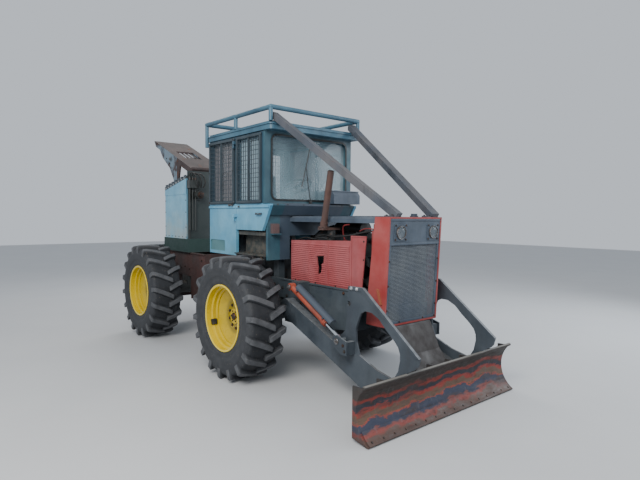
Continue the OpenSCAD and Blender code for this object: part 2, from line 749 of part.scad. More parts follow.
// A window guard on the outer face of a side wall, from x0 to x1: frame, middle bar and mesh
module screen(x0, x1) {
    y0 = cab_w / 2;
    z0 = 2110;
    z1 = 2965;
    slab_xz(y0, y0 + 30) difference() {
        translate([x0, z0]) square([x1 - x0, z1 - z0]);
        translate([x0 + 30, z0 + 30]) square([x1 - x0 - 60, z1 - z0 - 60]);
    }
    slab_xz(y0 + 10, y0 + 16) bar_mesh([x0 + 20, z0 + 20], [x1 - 20, z1 - 20], 11, screen_bar, screen_pitch);
    box([(x0 + x1) / 2 - 12, y0 + 5, z0 + 20], [(x0 + x1) / 2 + 12, y0 + 25, z1 - 20]);
}

module side_screens() {
    color([0.18, 0.24, 0.25]) on_machine() {
        both_sides() screen(cab_rear_x + 30, door_gap_x - 24);
        // Guard before the rear window
        slab_yz(cab_rear_x - 30, cab_rear_x) difference() {
            translate([-560, 2120]) square([1120, 820]);
            translate([-530, 2150]) square([1060, 760]);
        }
        slab_yz(cab_rear_x - 18, cab_rear_x - 12)
            bar_mesh([-540, 2140], [540, 2920], 11, screen_bar, screen_pitch);
    }
}

module door_screen() screen(door_gap_x + 34, 64);

// Roof of three layers: the wall plate, the gutter's lip and the crown
module roof() {
    color(dark_teal) on_machine() translate([0, 0, eave_z])
        for (q = [[0, 58, 12], [58, 70, 0], [70, roof_t, 22]])
            translate([0, 0, q[0]]) linear_extrude(q[1] - q[0])
                round_rect([roof_x[0] + q[2], -roof_y + q[2]], [roof_x[1] - q[2], roof_y - q[2]], 60);
}

module roof_guard() {
    r = rail_d / 2;
    z = rail_top_z - r;
    y = roof_y - r;
    x0 = roof_x[0] - r - 5;
    x1 = roof_x[1] - r;
    post_low_z = 2925;
    color([0.12, 0.28, 0.30]) on_machine() {
        both_sides() {
            translate([x0, y, z]) rotate([0, 90, 0]) cylinder(r = r, h = x1 - x0);
            for (x = [(x0 + x1) / 2, x1])
                translate([x, y, eave_z + roof_t]) cylinder(r = r - 4, h = z - eave_z - roof_t);
            // Rear posts run down behind the roof to brackets on the cab
            translate([x0, y, post_low_z]) cylinder(r = r - 4, h = z - post_low_z);
            box([x0, y - 24, post_low_z], [cab_rear_x, cab_w / 2, post_low_z + 45]);
        }
        for (x = [x0, x1]) {
            translate([x, 0, z]) rotate([90, 0, 0]) cylinder(r = r, h = 2 * y, center = true);
            for (s = [-1, 1]) translate([x, s * y, z]) sphere(r = r);
        }
    }
}

// The two bars from the roof's front corners down to the radiator guard, with their foot plates
module limb_risers() {
    a = [250, 630, 3135];
    b = [1850, 300, bonnet_z + 40];
    run = norm([b[0] - a[0], b[1] - a[1]]);
    dive = atan2(a[2] - b[2], run);
    turn = atan2(b[1] - a[1], b[0] - a[0]);
    color([0.26, 0.24, 0.25]) on_machine() both_sides() {
        difference() {
            translate(a) rotate([0, 0, turn]) rotate([0, dive, 0])
                translate([-60, -50, -35]) cube([norm(b - a) + 120, 100, 70]);
            box([-100, 0, eave_z - 100], [roof_x[1] + 1, 900, eave_z + roof_t]);
            box([1500, -400, bonnet_z - 200], [2100, 900, bonnet_z]);
            box([-100, 0, 3080], [190, 900, 3300]);
        }
        box([1768, 236, bonnet_z], [guard_x - 14, 364, bonnet_z + 14]);
    }
}

// Air box before the windshield, with its folded lid
module air_box() {
    color([0.30, 0.38, 0.40]) on_machine() {
        slab_xz(230, 700) polygon([
            [cab_front_x + 8, 2113], [330, 2113], [330, 2230], [290, 2278], [cab_front_x + 8, 2278]]);
        slab_xz(220, 710) polygon([
            [cab_front_x + 8, 2278], [300, 2278], [296, 2290], [cab_front_x + 8, 2290]]);
    }
}

// Seat: pedestal, cushion and a back that leans
module seat() {
    color([0.10, 0.10, 0.11]) on_machine() {
        slab_xz(-150, 150) polygon([
            [-930, floor_z], [-560, floor_z], [-600, floor_z + 110], [-560, floor_z + 220],
            [-900, floor_z + 220], [-860, floor_z + 110]]);
        slab_xz(-240, 240) round_rect([-960, floor_z + 220], [-480, floor_z + 330], 40);
        translate([-900, 0, floor_z + 330]) rotate([0, -8, 0])
            translate([-110, 0, 0]) slab_yz(0, 110) round_rect([-230, -30], [230, 520], 70);
    }
}

// Dash with its sloping face, the column and the wheel
module steering_console() {
    color([0.12, 0.13, 0.14]) on_machine() {
        slab_xz(-330, 330) polygon([
            [-10, floor_z], [cab_front_x - wall_t - 8, floor_z], [cab_front_x - wall_t - 8, floor_z + 385],
            [10, floor_z + 385], [-60, floor_z + 330], [-60, floor_z + 220]]);
        translate([-22, 0, floor_z + 340]) rotate([0, -28, 0]) {
            cylinder(r = 34, h = 130);
            cylinder(r = 22, h = 310);
            translate([0, 0, 300]) {
                rotate_extrude() translate([190, 0]) circle(13);
                for (a = [0, 120, 240]) rotate([0, 0, a]) box([0, -12, -8], [190, 12, 8]);
                cylinder(r = 42, h = 22, center = true);
            }
        }
    }
}

// Door outline in X and Z: its lower panel runs forward over the cowl
module door() {
    half = cab_w / 2;
    front = cab_front_x - wall_t - run_gap;
    difference() {
        slab_xz(half - wall_t, half) polygon([
            [door_gap_x + 4, 1765], [70, 1765], [cowl_x, 2078], [cowl_x, sill_z], [front, sill_z],
            [front, eave_z - run_gap], [door_gap_x + 4, eave_z - run_gap]]);
        slab_xz(half - wall_t - 1, half + 1)
            round_rect([door_window_x[0], window_z[0]], [door_window_x[1], window_z[1]], 30);
    }
    // Rail under the window guard, and the handle
    box([door_gap_x + 10, half, 2052], [cowl_x - 20, half + 16, 2080]);
    box([-40, half, 1962], [60, half + 22, 1984]);
    for (z = door_hinge_z) difference() {
        union() {
            translate([door_gap_x, door_hinge_y, z + 51]) cylinder(r = 13, h = 40);
            box([door_gap_x + 4, half, z + 51], [door_gap_x + 26, door_hinge_y, z + 91]);
        }
        translate([door_gap_x, door_hinge_y, z + 40]) cylinder(r = 7 + pin_play, h = 60);
    }
}

module door_glass() {
    half = cab_w / 2 - wall_t;
    box([door_window_x[0] - 25, half - 6, 2125], [door_window_x[1] + 25, half, 2960]);
}

module door_left() color(door_blue) on_machine() door();
module door_right() color(door_blue) on_machine() mirror([0, 1, 0]) door();
module door_glass_left() color(clear_glass) on_machine() door_glass();
module door_glass_right() color(clear_glass) on_machine() mirror([0, 1, 0]) door_glass();
module door_screen_left() color([0.18, 0.24, 0.25]) on_machine() door_screen();
module door_screen_right() color([0.18, 0.24, 0.25]) on_machine() mirror([0, 1, 0]) door_screen();

// Blade and arms

// A band round the blade's axis from radius r0 to r1, between two angles less than 180 apart
module blade_band(r0, r1, a0, a1) {
    far = 3 * r1;
    translate([blade_x, blade_z]) intersection() {
        difference() {
            circle(r1);
            circle(r0);
        }
        polygon([[0, 0], for (a = [a0, (a0 + a1) / 2, a1]) far * [cos(a), sin(a)]]);
    }
}

// What lies between the hollow face's back and an upright line behind the blade
module blade_web(t) {
    difference() {
        polygon([
            [blade_back_x, blade_low_z + 25], [blade_x - 160, blade_low_z],
            [blade_x - 209, blade_z + 227], [blade_back_x, blade_z + 219]]);
        translate([blade_x, blade_z]) circle(blade_r + t);
    }
}

module blade() {
    half = blade_w / 2;
    // Ribs behind the skin, as the Y of their middle
    rib_y = [150, 400, 860];
    color([0.42, 0.20, 0.17]) on_machine() difference() {
        union() {
            slab_xz(-half, half) blade_band(blade_r, blade_r + blade_t, blade_top_a, blade_low_a);
            // Cutting edge on the front face, and the round bar along the top
            slab_xz(-half + 20, half - 20) blade_band(blade_r - 12, blade_r + 2, 212, blade_low_a);
            bar_y(blade_top[0], blade_top[1], blade_bar_r, -half, half);
            both_sides() {
                slab_xz(half - 14, half) blade_web(0);
                for (y = rib_y) slab_xz(y - 8, y + 8) blade_web(blade_t - 1);
            }
        }
        box([blade_x - 400, -half - 1, -200], [blade_x + 400, half + 1, blade_low_z]);
    }
}

// One push arm with its beam, the triangular plate and the ears of the lift cylinder
module push_arm() {
    ear_y = lift_y + 54;
    difference() {
        union() {
            // Beam from the pivot to the blade's back
            translate([pivot[0], beam_y, pivot[1]]) rotate([0, beam_slope, 0])
                box([0, 0, -beam_h / 2], [beam_len, beam_w + 10, beam_h / 2]);
            bar_y(pivot[0], pivot[1], beam_h / 2 + 6, beam_y - 4, plate_y + 15);
            // Triangular plate
            slab_xz(plate_y, arm_y) difference() {
                polygon([
                    [1535, 1238], [1745, 1242], tip, [tip[0] - 20, 615], [blade_x - 196, 500],
                    [blade_x - 196, 100], [blade_x - 326, 40], [1585, 290], [1440, 560], [1430, 720],
                    [1500, 780]]);
                polygon([for (q = arm_opening)
                    [opening_x[0] + q[0] * (opening_x[1] - opening_x[0]), q[1]]]);
                translate([1544, 1060]) circle(26);
            }
            // Doubler strip along the plate's sloping front edge
            slab_xz(arm_y, arm_y + 10) polygon([
                [1745, 1242], tip, [tip[0] - 42, 690], [1722, 1206], [1560, 1204], [1535, 1238]]);
            // Outer ear of the lift cylinder and the block that holds it
            translate([lift_rod_eye[0], 0, lift_rod_eye[1]]) {
                slab_xz(ear_y, ear_y + 20) polygon([
                    [-60, -40], [-60, 40], [0, 65], [150, 20], [150, -120], [60, -120]]);
                box([85, plate_y, -120], [140, ear_y + 20, 10]);
            }
        }
        bar_y(pivot[0], pivot[1], pivot_r + pin_play, beam_y - 10, arm_y + 1);
        // Room for the blade's skin and its top bar
        bar_y(blade_x, blade_z, blade_r + blade_t, 0, 1000);
        bar_y(blade_top[0], blade_top[1], blade_bar_r, 0, 1000);
        box([blade_back_x, 0, -400], [blade_x + 200, 1000, blade_low_z + 12]);
    }
}

module push_arms() color([0.24, 0.27, 0.27]) on_machine() both_sides() push_arm();

// Lift cylinders, drawn along X from the barrel's eye and turned down

module at_lift(side) {
    on_machine() translate([lift_eye[0], side * lift_y, lift_eye[1]]) rotate([0, lift_tilt, 0]) children();
}

module lift_barrel(side) {
    color([0.75, 0.27, 0.15]) at_lift(side) difference() {
        union() {
            rotate([90, 0, 0]) cylinder(r = 42, h = 64, center = true);
            bar_x(0, 0, 34, 30, lift_barrel_len - 60);
            // Gland with its collar
            bar_x(0, 0, 42, lift_barrel_len - 60, lift_barrel_len - 16);
            bar_x(0, 0, 37, lift_barrel_len - 20, lift_barrel_len);
            // Half-round cover over the barrel
            translate([110, 0, 62]) rotate([0, 90, 0]) difference() {
                cylinder(r = 46, h = lift_barrel_len - 30);
                translate([0, 0, -1]) cylinder(r = 41, h = lift_barrel_len + 2);
                translate([0, -50, -1]) cube([50, 100, lift_barrel_len + 2]);
            }
            for (x = [130, lift_barrel_len - 60]) box([x, -43, 20], [x + 20, 43, 70]);
        }
        rotate([90, 0, 0]) cylinder(r = lift_pin_r + pin_play, h = 100, center = true);
        bar_x(0, 0, lift_rod_r + pin_play, 70, 70 + lift_barrel_len);
    }
}

module lift_rod(side) {
    color([0.80, 0.82, 0.84]) at_lift(side) {
        // Its inner end stays in the barrel, clear of the frame when the blade is up
        bar_x(0, 0, lift_rod_r, lift_barrel_len - 255, lift_len - 20);
        bar_x(0, 0, 30, lift_len - 62, lift_len - 30);
        translate([lift_len, 0, 0]) rotate([90, 0, 0]) cylinder(r = 38, h = 64, center = true);
    }
}

module lift_barrel_right() lift_barrel(-1);
module lift_barrel_left() lift_barrel(1);
module lift_rod_right() lift_rod(-1);
module lift_rod_left() lift_rod(1);

// Steering cylinders, drawn along -X from the barrel's eye

module at_steer(side) {
    on_machine() translate([steer_eye[0], side * steer_eye[1], steer_z])
        rotate([0, 0, side * steer_turn]) children();
}

module steer_barrel(side) {
    color([0.22, 0.24, 0.25]) at_steer(side) difference() {
        union() {
            cylinder(r = 40, h = 80, center = true);
            bar_x(0, 0, 36, -steer_barrel_len + 40, -30);
            bar_x(0, 0, 42, -steer_barrel_len, -steer_barrel_len + 50);
        }
        cylinder(r = steer_pin_r + pin_play, h = 100, center = true);
        bar_x(0, 0, steer_rod_r + pin_play, -steer_barrel_len - 1, -100);
    }
}

module steer_rod(side) {
    color([0.80, 0.82, 0.84]) at_steer(side) {
        bar_x(0, 0, steer_rod_r, -steer_len + 20, -steer_len + 480);
        translate([-steer_len, 0, 0]) cylinder(r = 36, h = 70, center = true);
    }
}

module steer_barrel_right() steer_barrel(-1);
module steer_barrel_left() steer_barrel(1);
module steer_rod_right() steer_rod(-1);
module steer_rod_left() steer_rod(1);

// Rear frame

module rear_frame() {
    inner = rear_half - frame_t;
    inset = hinge_t + run_gap;
    color([0.38, 0.25, 0.22]) on_machine() {
        both_sides() slab_xz(inner, rear_half) polygon([
            [rear_front_x, frame_low_z], [-wheelbase + 230, frame_low_z], [-wheelbase + 230, 930],
            [-wheelbase - 230, 930], [-wheelbase - 230, frame_low_z + 40], [rear_end_x, frame_low_z + 40],
            [rear_end_x, rear_top_z], [rear_front_x, rear_top_z]]);
        box([rear_front_x - 25, -inner, frame_low_z], [rear_front_x, inner, rear_top_z]);
        // Top flange, cross plates ahead of and behind the axle
        both_sides() box([tower_rear_x - 40, rear_half, rear_top_z - 20],
            [rear_front_x, rear_half + 16, rear_top_z]);
        for (x = [-wheelbase + 230, -wheelbase - 255])
            box([x, -inner, frame_low_z + 40], [x + 25, inner, 930]);
        // Hinge plates between those of the front frame, with their pins
        for (z = [hinge_z[0] + inset, hinge_z[1] - inset]) hinge_plate(rear_front_x, inner, z, hinge_t) {}
        for (z = [hinge_z[0] - 24, hinge_z[1] - inset])
            translate([hinge_x, 0, z]) cylinder(r = hinge_r, h = inset + 24);
        // Ears of the steering cylinders
        both_sides() for (z = [steer_z - 66, steer_z + 42]) translate([0, 0, z]) linear_extrude(24) union() {
            polygon([
                [rear_front_x, 120], [rear_front_x, inner], [steer_rod_eye[0], steer_rod_eye[1] + 55],
                [steer_rod_eye[0], steer_rod_eye[1] - 55]]);
            translate(steer_rod_eye) circle(55);
        }
        // Deck under the tower
        box([tower_rear_x - 40, -tower_half_w, rear_top_z], [tower_front_x + 90, tower_half_w, deck_z]);
        // Butt plate with cut corners, and the ribs on its face
        slab_yz(rear_end_x - 70, rear_end_x) polygon([
            [-700, 700], [-450, 450], [450, 450], [700, 700], [700, 1360], [640, 1420], [-640, 1420],
            [-700, 1360]]);
        for (y = [-420, -140, 140, 420])
            box([rear_end_x - 82, y - 20, 480], [rear_end_x - 70, y + 20, 1400]);
    }
}

// Winch tower: side plates with a fold and a toothed upper edge, the front plate and the valve
module tower() {
    side_t = 30;
    slope = atan2(tower_top_z[0] - tower_top_z[1], tower_front_x - tower_rear_x);
    edge = norm([tower_front_x - tower_rear_x, tower_top_z[0] - tower_top_z[1]]);
    teeth = 7;
    valve = [tower_front_x, -430, 2400];
    color([0.42, 0.60, 0.64]) on_machine() {
        both_sides() {
            slab_xz(tower_half_w - side_t, tower_half_w) polygon([
                [tower_front_x, fold_z], [tower_front_x, tower_top_z[0]], [tower_rear_x, tower_top_z[1]],
                [tower_rear_x, fold_z]]);
            box([tower_rear_x, tower_half_w - side_t, deck_z],
                [tower_front_x, tower_half_w - 6, fold_z]);
            translate([tower_rear_x, 0, tower_top_z[1]]) rotate([0, -slope, 0])
                for (i = [0:teeth - 1]) box(
                    [(i + 0.25) * edge / teeth, tower_half_w - side_t + 4, -4],
                    [(i + 0.72) * edge / teeth, tower_half_w, 24]);
        }
        box([tower_front_x - 30, -tower_half_w + side_t, deck_z],
            [tower_front_x, tower_half_w - side_t, 2690]);
        // Control valve with its spools and pipes on the front plate
        translate(valve) {
            box([0, -60, 0], [110, 130, 130]);
            for (y = [-30, 20, 70]) {
                translate([55, y, 100]) cylinder(r = 15, h = 90);
                translate([55, y, -700]) cylinder(r = 11, h = 710);
            }
            bar_x(110, -110, 62, 0, 170);
            box([0, 20, -200], [16, 200, -20]);
        }
        for (y = [-470, 440]) box([tower_front_x, y, deck_z], [tower_front_x + 30, y + 30, 2600]);
    }
}

// Height of the arch head's upper line at x, counted from its front
function head_z(x) = head_front[1] - (head_rear[1] - head_front[1]) * x / head_len;

// Arch: head plate, side plates and the shaft bores. X is counted from the head's front.
module arch() {
    t = 25;
    y = head_half_w;
    cheek = 92;
    rear = -head_len;
    color([0.36, 0.28, 0.26]) on_machine() {
        translate([head_front[0], 0, 0]) {
            difference() {
                slab_xz(-y, y) polygon([
                    [0, head_z(0)], [rear, head_z(rear)], [rear, head_z(rear) - head_t],
                    [0, head_z(0) - head_t]]);
                box([-990, -170, 2800], [-570, 170, 3400]);
            }
            // Side plates from the deck to the head, and the cheeks along the head's edges
            both_sides() difference() {
                slab_xz(y - t, y) difference() {
                    union() {
                        polygon([
                            [-1420, head_z(-1420) - 1], [-1350, head_z(-1350) - 80], [-1200, 3030],
                            [-880, 2815], [-710, 2590], [-710, deck_z], [-25, deck_z],
                            [-25, head_z(-25) - 1]]);
                        polygon([
                            [0, head_z(0)], [rear, head_z(rear)], [rear + 70, head_z(rear + 70) - cheek],
                            [0, head_z(0) - cheek]]);
                    }
                    polygon([
                        [-80, 2470], [-80, head_z(-80) - 100], [-430, head_z(-430) - 100],
                        [-490, 2610], [-510, 2470]]);
                }
                for (q = [[drum, drum_shaft_r], [roller, roller_shaft_r]])
                    bar_y(q[0][0] - head_front[0], q[0][1], q[1] + pin_play, 0, 500);
            }
            box([-50, -y + t, 2480], [-25, y - t, head_z(-50) - 2]);
            // Cross member behind the drum
            bar_y(-660, 1660, 40, -y + t, y - t);
        }
        // Bosses of the roller's shaft
        both_sides() difference() {
            bar_y(roller[0], roller[1], 48, y, y + 6);
            bar_y(roller[0], roller[1], roller_shaft_r + pin_play, 0, 500);
        }
    }
}

// Drum with its flanges and shaft, wound with rope
module winch_drum() {
    half = head_half_w - 25 - run_gap;
    flange_t = 20;
    wraps = floor(2 * (half - flange_t) / rope_d);
    color([0.35, 0.36, 0.37]) on_machine() translate([drum[0], 0, drum[1]]) rotate([90, 0, 0]) {
        rotate_extrude() {
            translate([0, -half]) square([118, 2 * half]);
            for (i = [0:wraps - 1])
                translate([118, (i - (wraps - 1) / 2) * rope_d]) circle(d = rope_d, $fn = 8);
            for (s = [-1, 1])
                translate([0, s * (half - flange_t / 2) - flange_t / 2]) square([190, flange_t]);
        }
        cylinder(r = drum_shaft_r, h = 2 * head_half_w, center = true);
    }
}

// Roller under the arch head, waisted by the rope
module fairlead_roller() {
    half = head_half_w - 25 - run_gap;
    color([0.35, 0.33, 0.32]) on_machine() translate([roller[0], 0, roller[1]]) rotate([90, 0, 0]) {
        rotate_extrude() polygon([
            [0, -half], [62, -half], [62, -half + 30], [52, -half + 50], [48, 0], [52, half - 50],
            [62, half - 30], [62, half], [0, half]]);
        cylinder(r = roller_shaft_r, h = 2 * (head_half_w + 14), center = true);
    }
}

front_frame();
front_axle();
engine();
bonnet();
louvre_panels();
radiator_guard();
grille();
cab_floor();
cab_front_wall();
cab_rear_wall();
cab_sides();
cab_glass();
side_screens();
roof();
roof_guard();
limb_risers();
exhaust_pipe();
air_box();
seat();
steering_console();
door_right();
door_left();
door_glass_right();
door_glass_left();
door_screen_right();
door_screen_left();
blade();
push_arms();
lift_barrel_right();
lift_rod_right();
lift_barrel_left();
lift_rod_left();
steer_barrel_right();
steer_rod_right();
steer_barrel_left();
steer_rod_left();
tyre_front_right();
rim_front_right();
tyre_front_left();
rim_front_left();
tyre_rear_right();
rim_rear_right();
tyre_rear_left();
rim_rear_left();
rear_frame();
rear_axle();
tower();
arch();
winch_drum();
fairlead_roller();
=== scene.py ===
# %% [markdown]
# # Dressing an articulated cable skidder
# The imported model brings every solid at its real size, in metres, with X forward, Y to the
# machine's left and Z up. This lesson gives each solid its worn paint and adds what is too fine
# for the solids. The frame stays as it is: only materials and new pieces are added.

import math

import bmesh
import bpy
from mathutils import Matrix, Vector


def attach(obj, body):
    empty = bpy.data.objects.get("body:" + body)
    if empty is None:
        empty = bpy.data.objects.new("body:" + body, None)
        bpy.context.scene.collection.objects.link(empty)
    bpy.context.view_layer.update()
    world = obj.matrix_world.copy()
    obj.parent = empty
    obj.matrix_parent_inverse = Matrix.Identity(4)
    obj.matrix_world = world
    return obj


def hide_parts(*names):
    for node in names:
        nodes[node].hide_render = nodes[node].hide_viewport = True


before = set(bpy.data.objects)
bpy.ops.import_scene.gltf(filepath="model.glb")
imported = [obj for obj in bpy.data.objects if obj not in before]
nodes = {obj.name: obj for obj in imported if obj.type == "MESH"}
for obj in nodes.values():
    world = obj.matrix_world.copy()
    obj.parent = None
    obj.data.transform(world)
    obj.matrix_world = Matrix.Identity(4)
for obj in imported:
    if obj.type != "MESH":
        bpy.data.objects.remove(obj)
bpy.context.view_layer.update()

# %% [markdown]
# ## Camera
# The photograph was taken from the machine's front right, at about the height of the bonnet.
# The camera stands where the wheels, the cab and the blade fall in the same places of the
# picture. Its heading is the angle from the X axis, seen from above.

# %% Camera of the photograph
CAMERA_PLACE = (6.1401, -4.0659, 1.9466)
CAMERA_HEADING = math.radians(140.20)
CAMERA_PITCH = math.radians(-2.733)
CAMERA_ROLL = math.radians(0.425)
CAMERA_LENS = 27.82
CAMERA_SENSOR = 36.0


def new_object(name, data):
    made = bpy.data.objects.new(name, data)
    bpy.context.scene.collection.objects.link(made)
    return made


def aim(thing, place, look, roll=0.0):
    """Puts a camera or a lamp in its place and turns it to look in a direction."""
    turn = Vector(look).to_track_quat("-Z", "Y") @ Matrix.Rotation(roll, 3, "Z").to_quaternion()
    thing.matrix_world = Matrix.Translation(place) @ turn.to_matrix().to_4x4()


lens = bpy.data.cameras.new("photo_camera")
lens.lens, lens.sensor_width = CAMERA_LENS, CAMERA_SENSOR
camera = new_object("photo_camera", lens)
ahead = math.cos(CAMERA_PITCH)
aim(camera, CAMERA_PLACE, (ahead * math.cos(CAMERA_HEADING), ahead * math.sin(CAMERA_HEADING),
                           math.sin(CAMERA_PITCH)), CAMERA_ROLL)
bpy.context.scene.camera = camera
print("camera lens", camera.data.lens, "mm")

# %% [markdown]
# ## Places
# The machine was measured with X counted from its front axle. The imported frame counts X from
# the middle of the machine's length, so one short function turns the first into the second.
# The machine is symmetric for the most part, so many lists are made for both sides at once.

# %% Places on the machine
AXLE_X = 0.935
WHEELBASE = 2.728
TYRE_Y = 1.035
AXLE_Z = 0.735
SIDES = (("right", -1), ("left", 1))
LEFT, UP, FORWARD, BACK = (0, 1, 0), (0, 0, 1), (1, 0, 0), (-1, 0, 0)


def at(x, y, z):
    return Vector((x + AXLE_X, y, z))


WHEELS = [(f"{end}_{side}", at(x, sign * TYRE_Y, AXLE_Z), sign)
          for end, x in (("front", 0), ("rear", -WHEELBASE)) for side, sign in SIDES]
print("front axle at", at(0, 0, AXLE_Z)[:], "wheels", len(WHEELS))

# %% [markdown]
# ## A finish and its nodes
# Every finish is a node tree round one Principled shader. Noise and masks are read from the
# object's own coordinates, so they stay on the machine when a door or the blade moves. A small
# class keeps the colour so far and lays the next coat over it, as a painter would. Colours are
# written as on a paint chart, from 0 to 255.

# %% The finish class
FINISHES = {}


def linear(colour):
    """A chart colour in the linear light that a render works with, with full alpha."""
    shares = [value / 255 for value in colour]
    return (*(s / 12.92 if s <= 0.04045 else ((s + 0.055) / 1.055) ** 2.4 for s in shares), 1.0)


class Finish:
    def __init__(self, name, colour, roughness=0.5, metallic=0.0):
        FINISHES[name] = self
        self.material = bpy.data.materials.new(name)
        self.material.use_nodes = True
        self.material.diffuse_color = linear(colour)
        self.tree = self.material.node_tree
        self.shader = self.tree.nodes["Principled BSDF"]
        self.set("Base Color", colour)
        self.set("Roughness", roughness)
        self.set("Metallic", metallic)
        self.place = self.add("TexCoord", {}).outputs["Object"]
        self.colour = colour
        self.axes = None

    def put(self, socket, value):
        """Links another node's socket to this one, or gives it a plain value."""
        if isinstance(value, bpy.types.NodeSocket):
            self.tree.links.new(value, socket)
        else:
            socket.default_value = linear(value) if socket.type == "RGBA" else value

    def set(self, key, value):
        self.put(self.shader.inputs[key], value)

    def add(self, kind, inputs, **settings):
        node = self.tree.nodes.new("ShaderNode" + kind)
        for key, value in settings.items():
            setattr(node, key, value)
        for key, value in inputs.items():
            self.put(node.inputs[key], value)
        return node

    def combine(self, operation, first, second=0.0):
        clamp = operation in ("ADD", "SUBTRACT")
        return self.add("Math", {0: first, 1: second}, operation=operation, use_clamp=clamp).outputs[0]

    def times(self, first, second):
        return self.combine("MULTIPLY", first, second)

    def noise(self, scale, stretch=None, detail=4.0, roughness=0.6):
        where = self.place
        if stretch:
            where = self.add("Mapping", {"Vector": where, "Scale": stretch}).outputs[0]
        return self.add("TexNoise", {"Vector": where, "Scale": scale, "Detail": detail,
                                     "Roughness": roughness}).outputs[0]

    def weave(self, scale, distortion=0.0):
        """Slanting waves, for woven cloth and twisted rope."""
        return self.add("TexWave", {"Vector": self.place, "Scale": scale, "Distortion": distortion},
                        bands_direction="DIAGONAL").outputs["Fac"]

    def band(self, value, low, high, first=0.0, last=1.0):
        """Stretches the values from low to high over first to last."""
        return self.add("MapRange", {"Value": value, "From Min": low, "From Max": high,
                                     "To Min": first, "To Max": last}).outputs[0]

    def axis(self, letter):
        if self.axes is None:
            self.axes = self.add("SeparateXYZ", {0: self.place})
        return self.axes.outputs[letter]

    def off_middle(self):
        """The distance from the machine's middle plane."""
        return self.combine("ABSOLUTE", self.axis("Y"))

    def toward(self, direction):
        """The distance along a direction, counted from the origin."""
        return self.add("VectorMath", {0: self.place, 1: direction},
                        operation="DOT_PRODUCT").outputs["Value"]

    def within(self, soft=0.004, **ranges):
        """1 inside the ranges of Y, Z and X, which counts from the front axle, 0 outside."""
        share = None
        for letter, limits in ranges.items():
            low, high = (limit + (AXLE_X if letter == "X" else 0.0) for limit in limits)
            for edge, sign in ((low, 1), (high, -1)):
                step = self.band(self.axis(letter), edge - soft * sign, edge + soft * sign)
                share = step if share is None else self.times(share, step)
        return share

    def facing(self, letter):
        normal = self.add("NewGeometry", {}).outputs["Normal"]
        return self.add("SeparateXYZ", {0: normal}).outputs[letter]

    def coat(self, share, colour):
        mix = self.add("Mix", {0: share, 6: self.colour, 7: colour}, data_type="RGBA")
        self.colour = mix.outputs[2]
        self.set("Base Color", self.colour)

    def over(self, colour, value, low, high, share=1.0):
        """A coat that sets in while the value goes from low to high."""
        self.coat(self.band(value, low, high, 0.0, share), colour)

    def speckle(self, colour, scale, low, high, share=1.0, detail=4.0, **noise):
        """A coat in spots, where a noise goes from low to high."""
        self.over(colour, self.noise(scale, detail=detail, **noise), low, high, share)

    def field(self, colour, soft=0.004, **ranges):
        self.coat(self.within(soft, **ranges), colour)

    def roughen(self, value, low, high, first, last):
        self.set("Roughness", self.band(value, low, high, first, last))

    def bump(self, height, strength, distance=0.002):
        relief = self.add("Bump", {"Strength": strength, "Distance": distance, "Height": height})
        self.set("Normal", relief.outputs[0])


print("finish class ready")

# %% [markdown]
# ## Worn paint
# The paint of a forestry machine fades in patches, carries dark rain streaks, rusts through at
# knocks and gathers dust on what faces up. One recipe serves all painted steel: each paint
# gives its two shades and how much rust, streak and dust it has.

# %% Worn paint
RUST = (94, 58, 42)
DUST = (118, 110, 100)
GRIME = (30, 32, 34)


def worn_paint(name, fresh, faded, rust, streaks, dust, roughness):
    paint = Finish(name, fresh, roughness)
    patches = paint.noise(2.3, detail=5.0)
    paint.over(faded, patches, 0.38, 0.62)
    paint.speckle(GRIME, 6.0, 0.48, 0.72, streaks, 6.0, stretch=(1, 1, 0.12), roughness=0.65)
    flakes = paint.noise(7.0, detail=8.0, roughness=0.7)
    edge = 0.78 - 0.22 * rust
    paint.over(RUST, flakes, edge, edge + 0.05)
    level = paint.band(paint.facing("Z"), 0.5, 0.98)
    paint.coat(paint.times(level, paint.band(patches, 0.35, 0.65, 0.3 * dust, dust)), DUST)
    gloss = paint.band(flakes, 0.35, 0.75, roughness - 0.12, min(roughness + 0.35, 1.0))
    paint.set("Roughness", paint.combine("MAXIMUM", gloss, paint.times(level, 0.95)))
    paint.bump(flakes, 0.25, 0.003)


# Name: fresh shade, faded shade, rust, streaks, dust, roughness
PAINTS = {
    "frame_paint": ((52, 61, 68), (68, 76, 82), 0.45, 0.3, 0.3, 0.5),
    "grille_paint": ((60, 72, 86), (76, 88, 102), 0.25, 0.3, 0.3, 0.5),
    "wire_paint": ((98, 110, 124), (118, 126, 134), 0.3, 0.2, 0.3, 0.5),
    "cab_paint": ((48, 84, 104), (66, 104, 124), 0.15, 0.25, 0.3, 0.42),
    "riser_paint": ((64, 70, 80), (84, 84, 88), 0.6, 0.5, 0.15, 0.5),
    "axle_paint": ((48, 54, 56), (62, 60, 58), 0.5, 0.3, 0.5, 0.6),
    "screen_paint": ((40, 52, 60), (52, 64, 72), 0.2, 0.1, 0.3, 0.5),
    "panel_red": ((136, 56, 58), (152, 80, 82), 0.2, 0.2, 0.3, 0.55),
    "guard_red": ((142, 50, 48), (152, 74, 72), 0.25, 0.18, 0.3, 0.5),
    "door_paint": ((82, 146, 178), (110, 168, 196), 0.12, 0.16, 0.2, 0.42),
    "wall_paint": ((44, 76, 90), (60, 94, 106), 0.15, 0.3, 0.3, 0.45),
    "rear_rust": ((74, 49, 46), (60, 50, 50), 0.5, 0.5, 0.3, 0.7),
    "tower_blue": ((104, 160, 188), (132, 180, 202), 0.12, 0.14, 0.3, 0.4),
    "arch_rust": ((52, 42, 42), (70, 58, 58), 0.8, 0.8, 0.05, 0.8),
    "arm_paint": ((50, 58, 66), (66, 74, 82), 0.45, 0.35, 0.3, 0.5),
    "cylinder_orange": ((158, 64, 42), (140, 70, 54), 0.4, 0.4, 0.3, 0.5),
}
for name, row in PAINTS.items():
    worn_paint(name, *row)
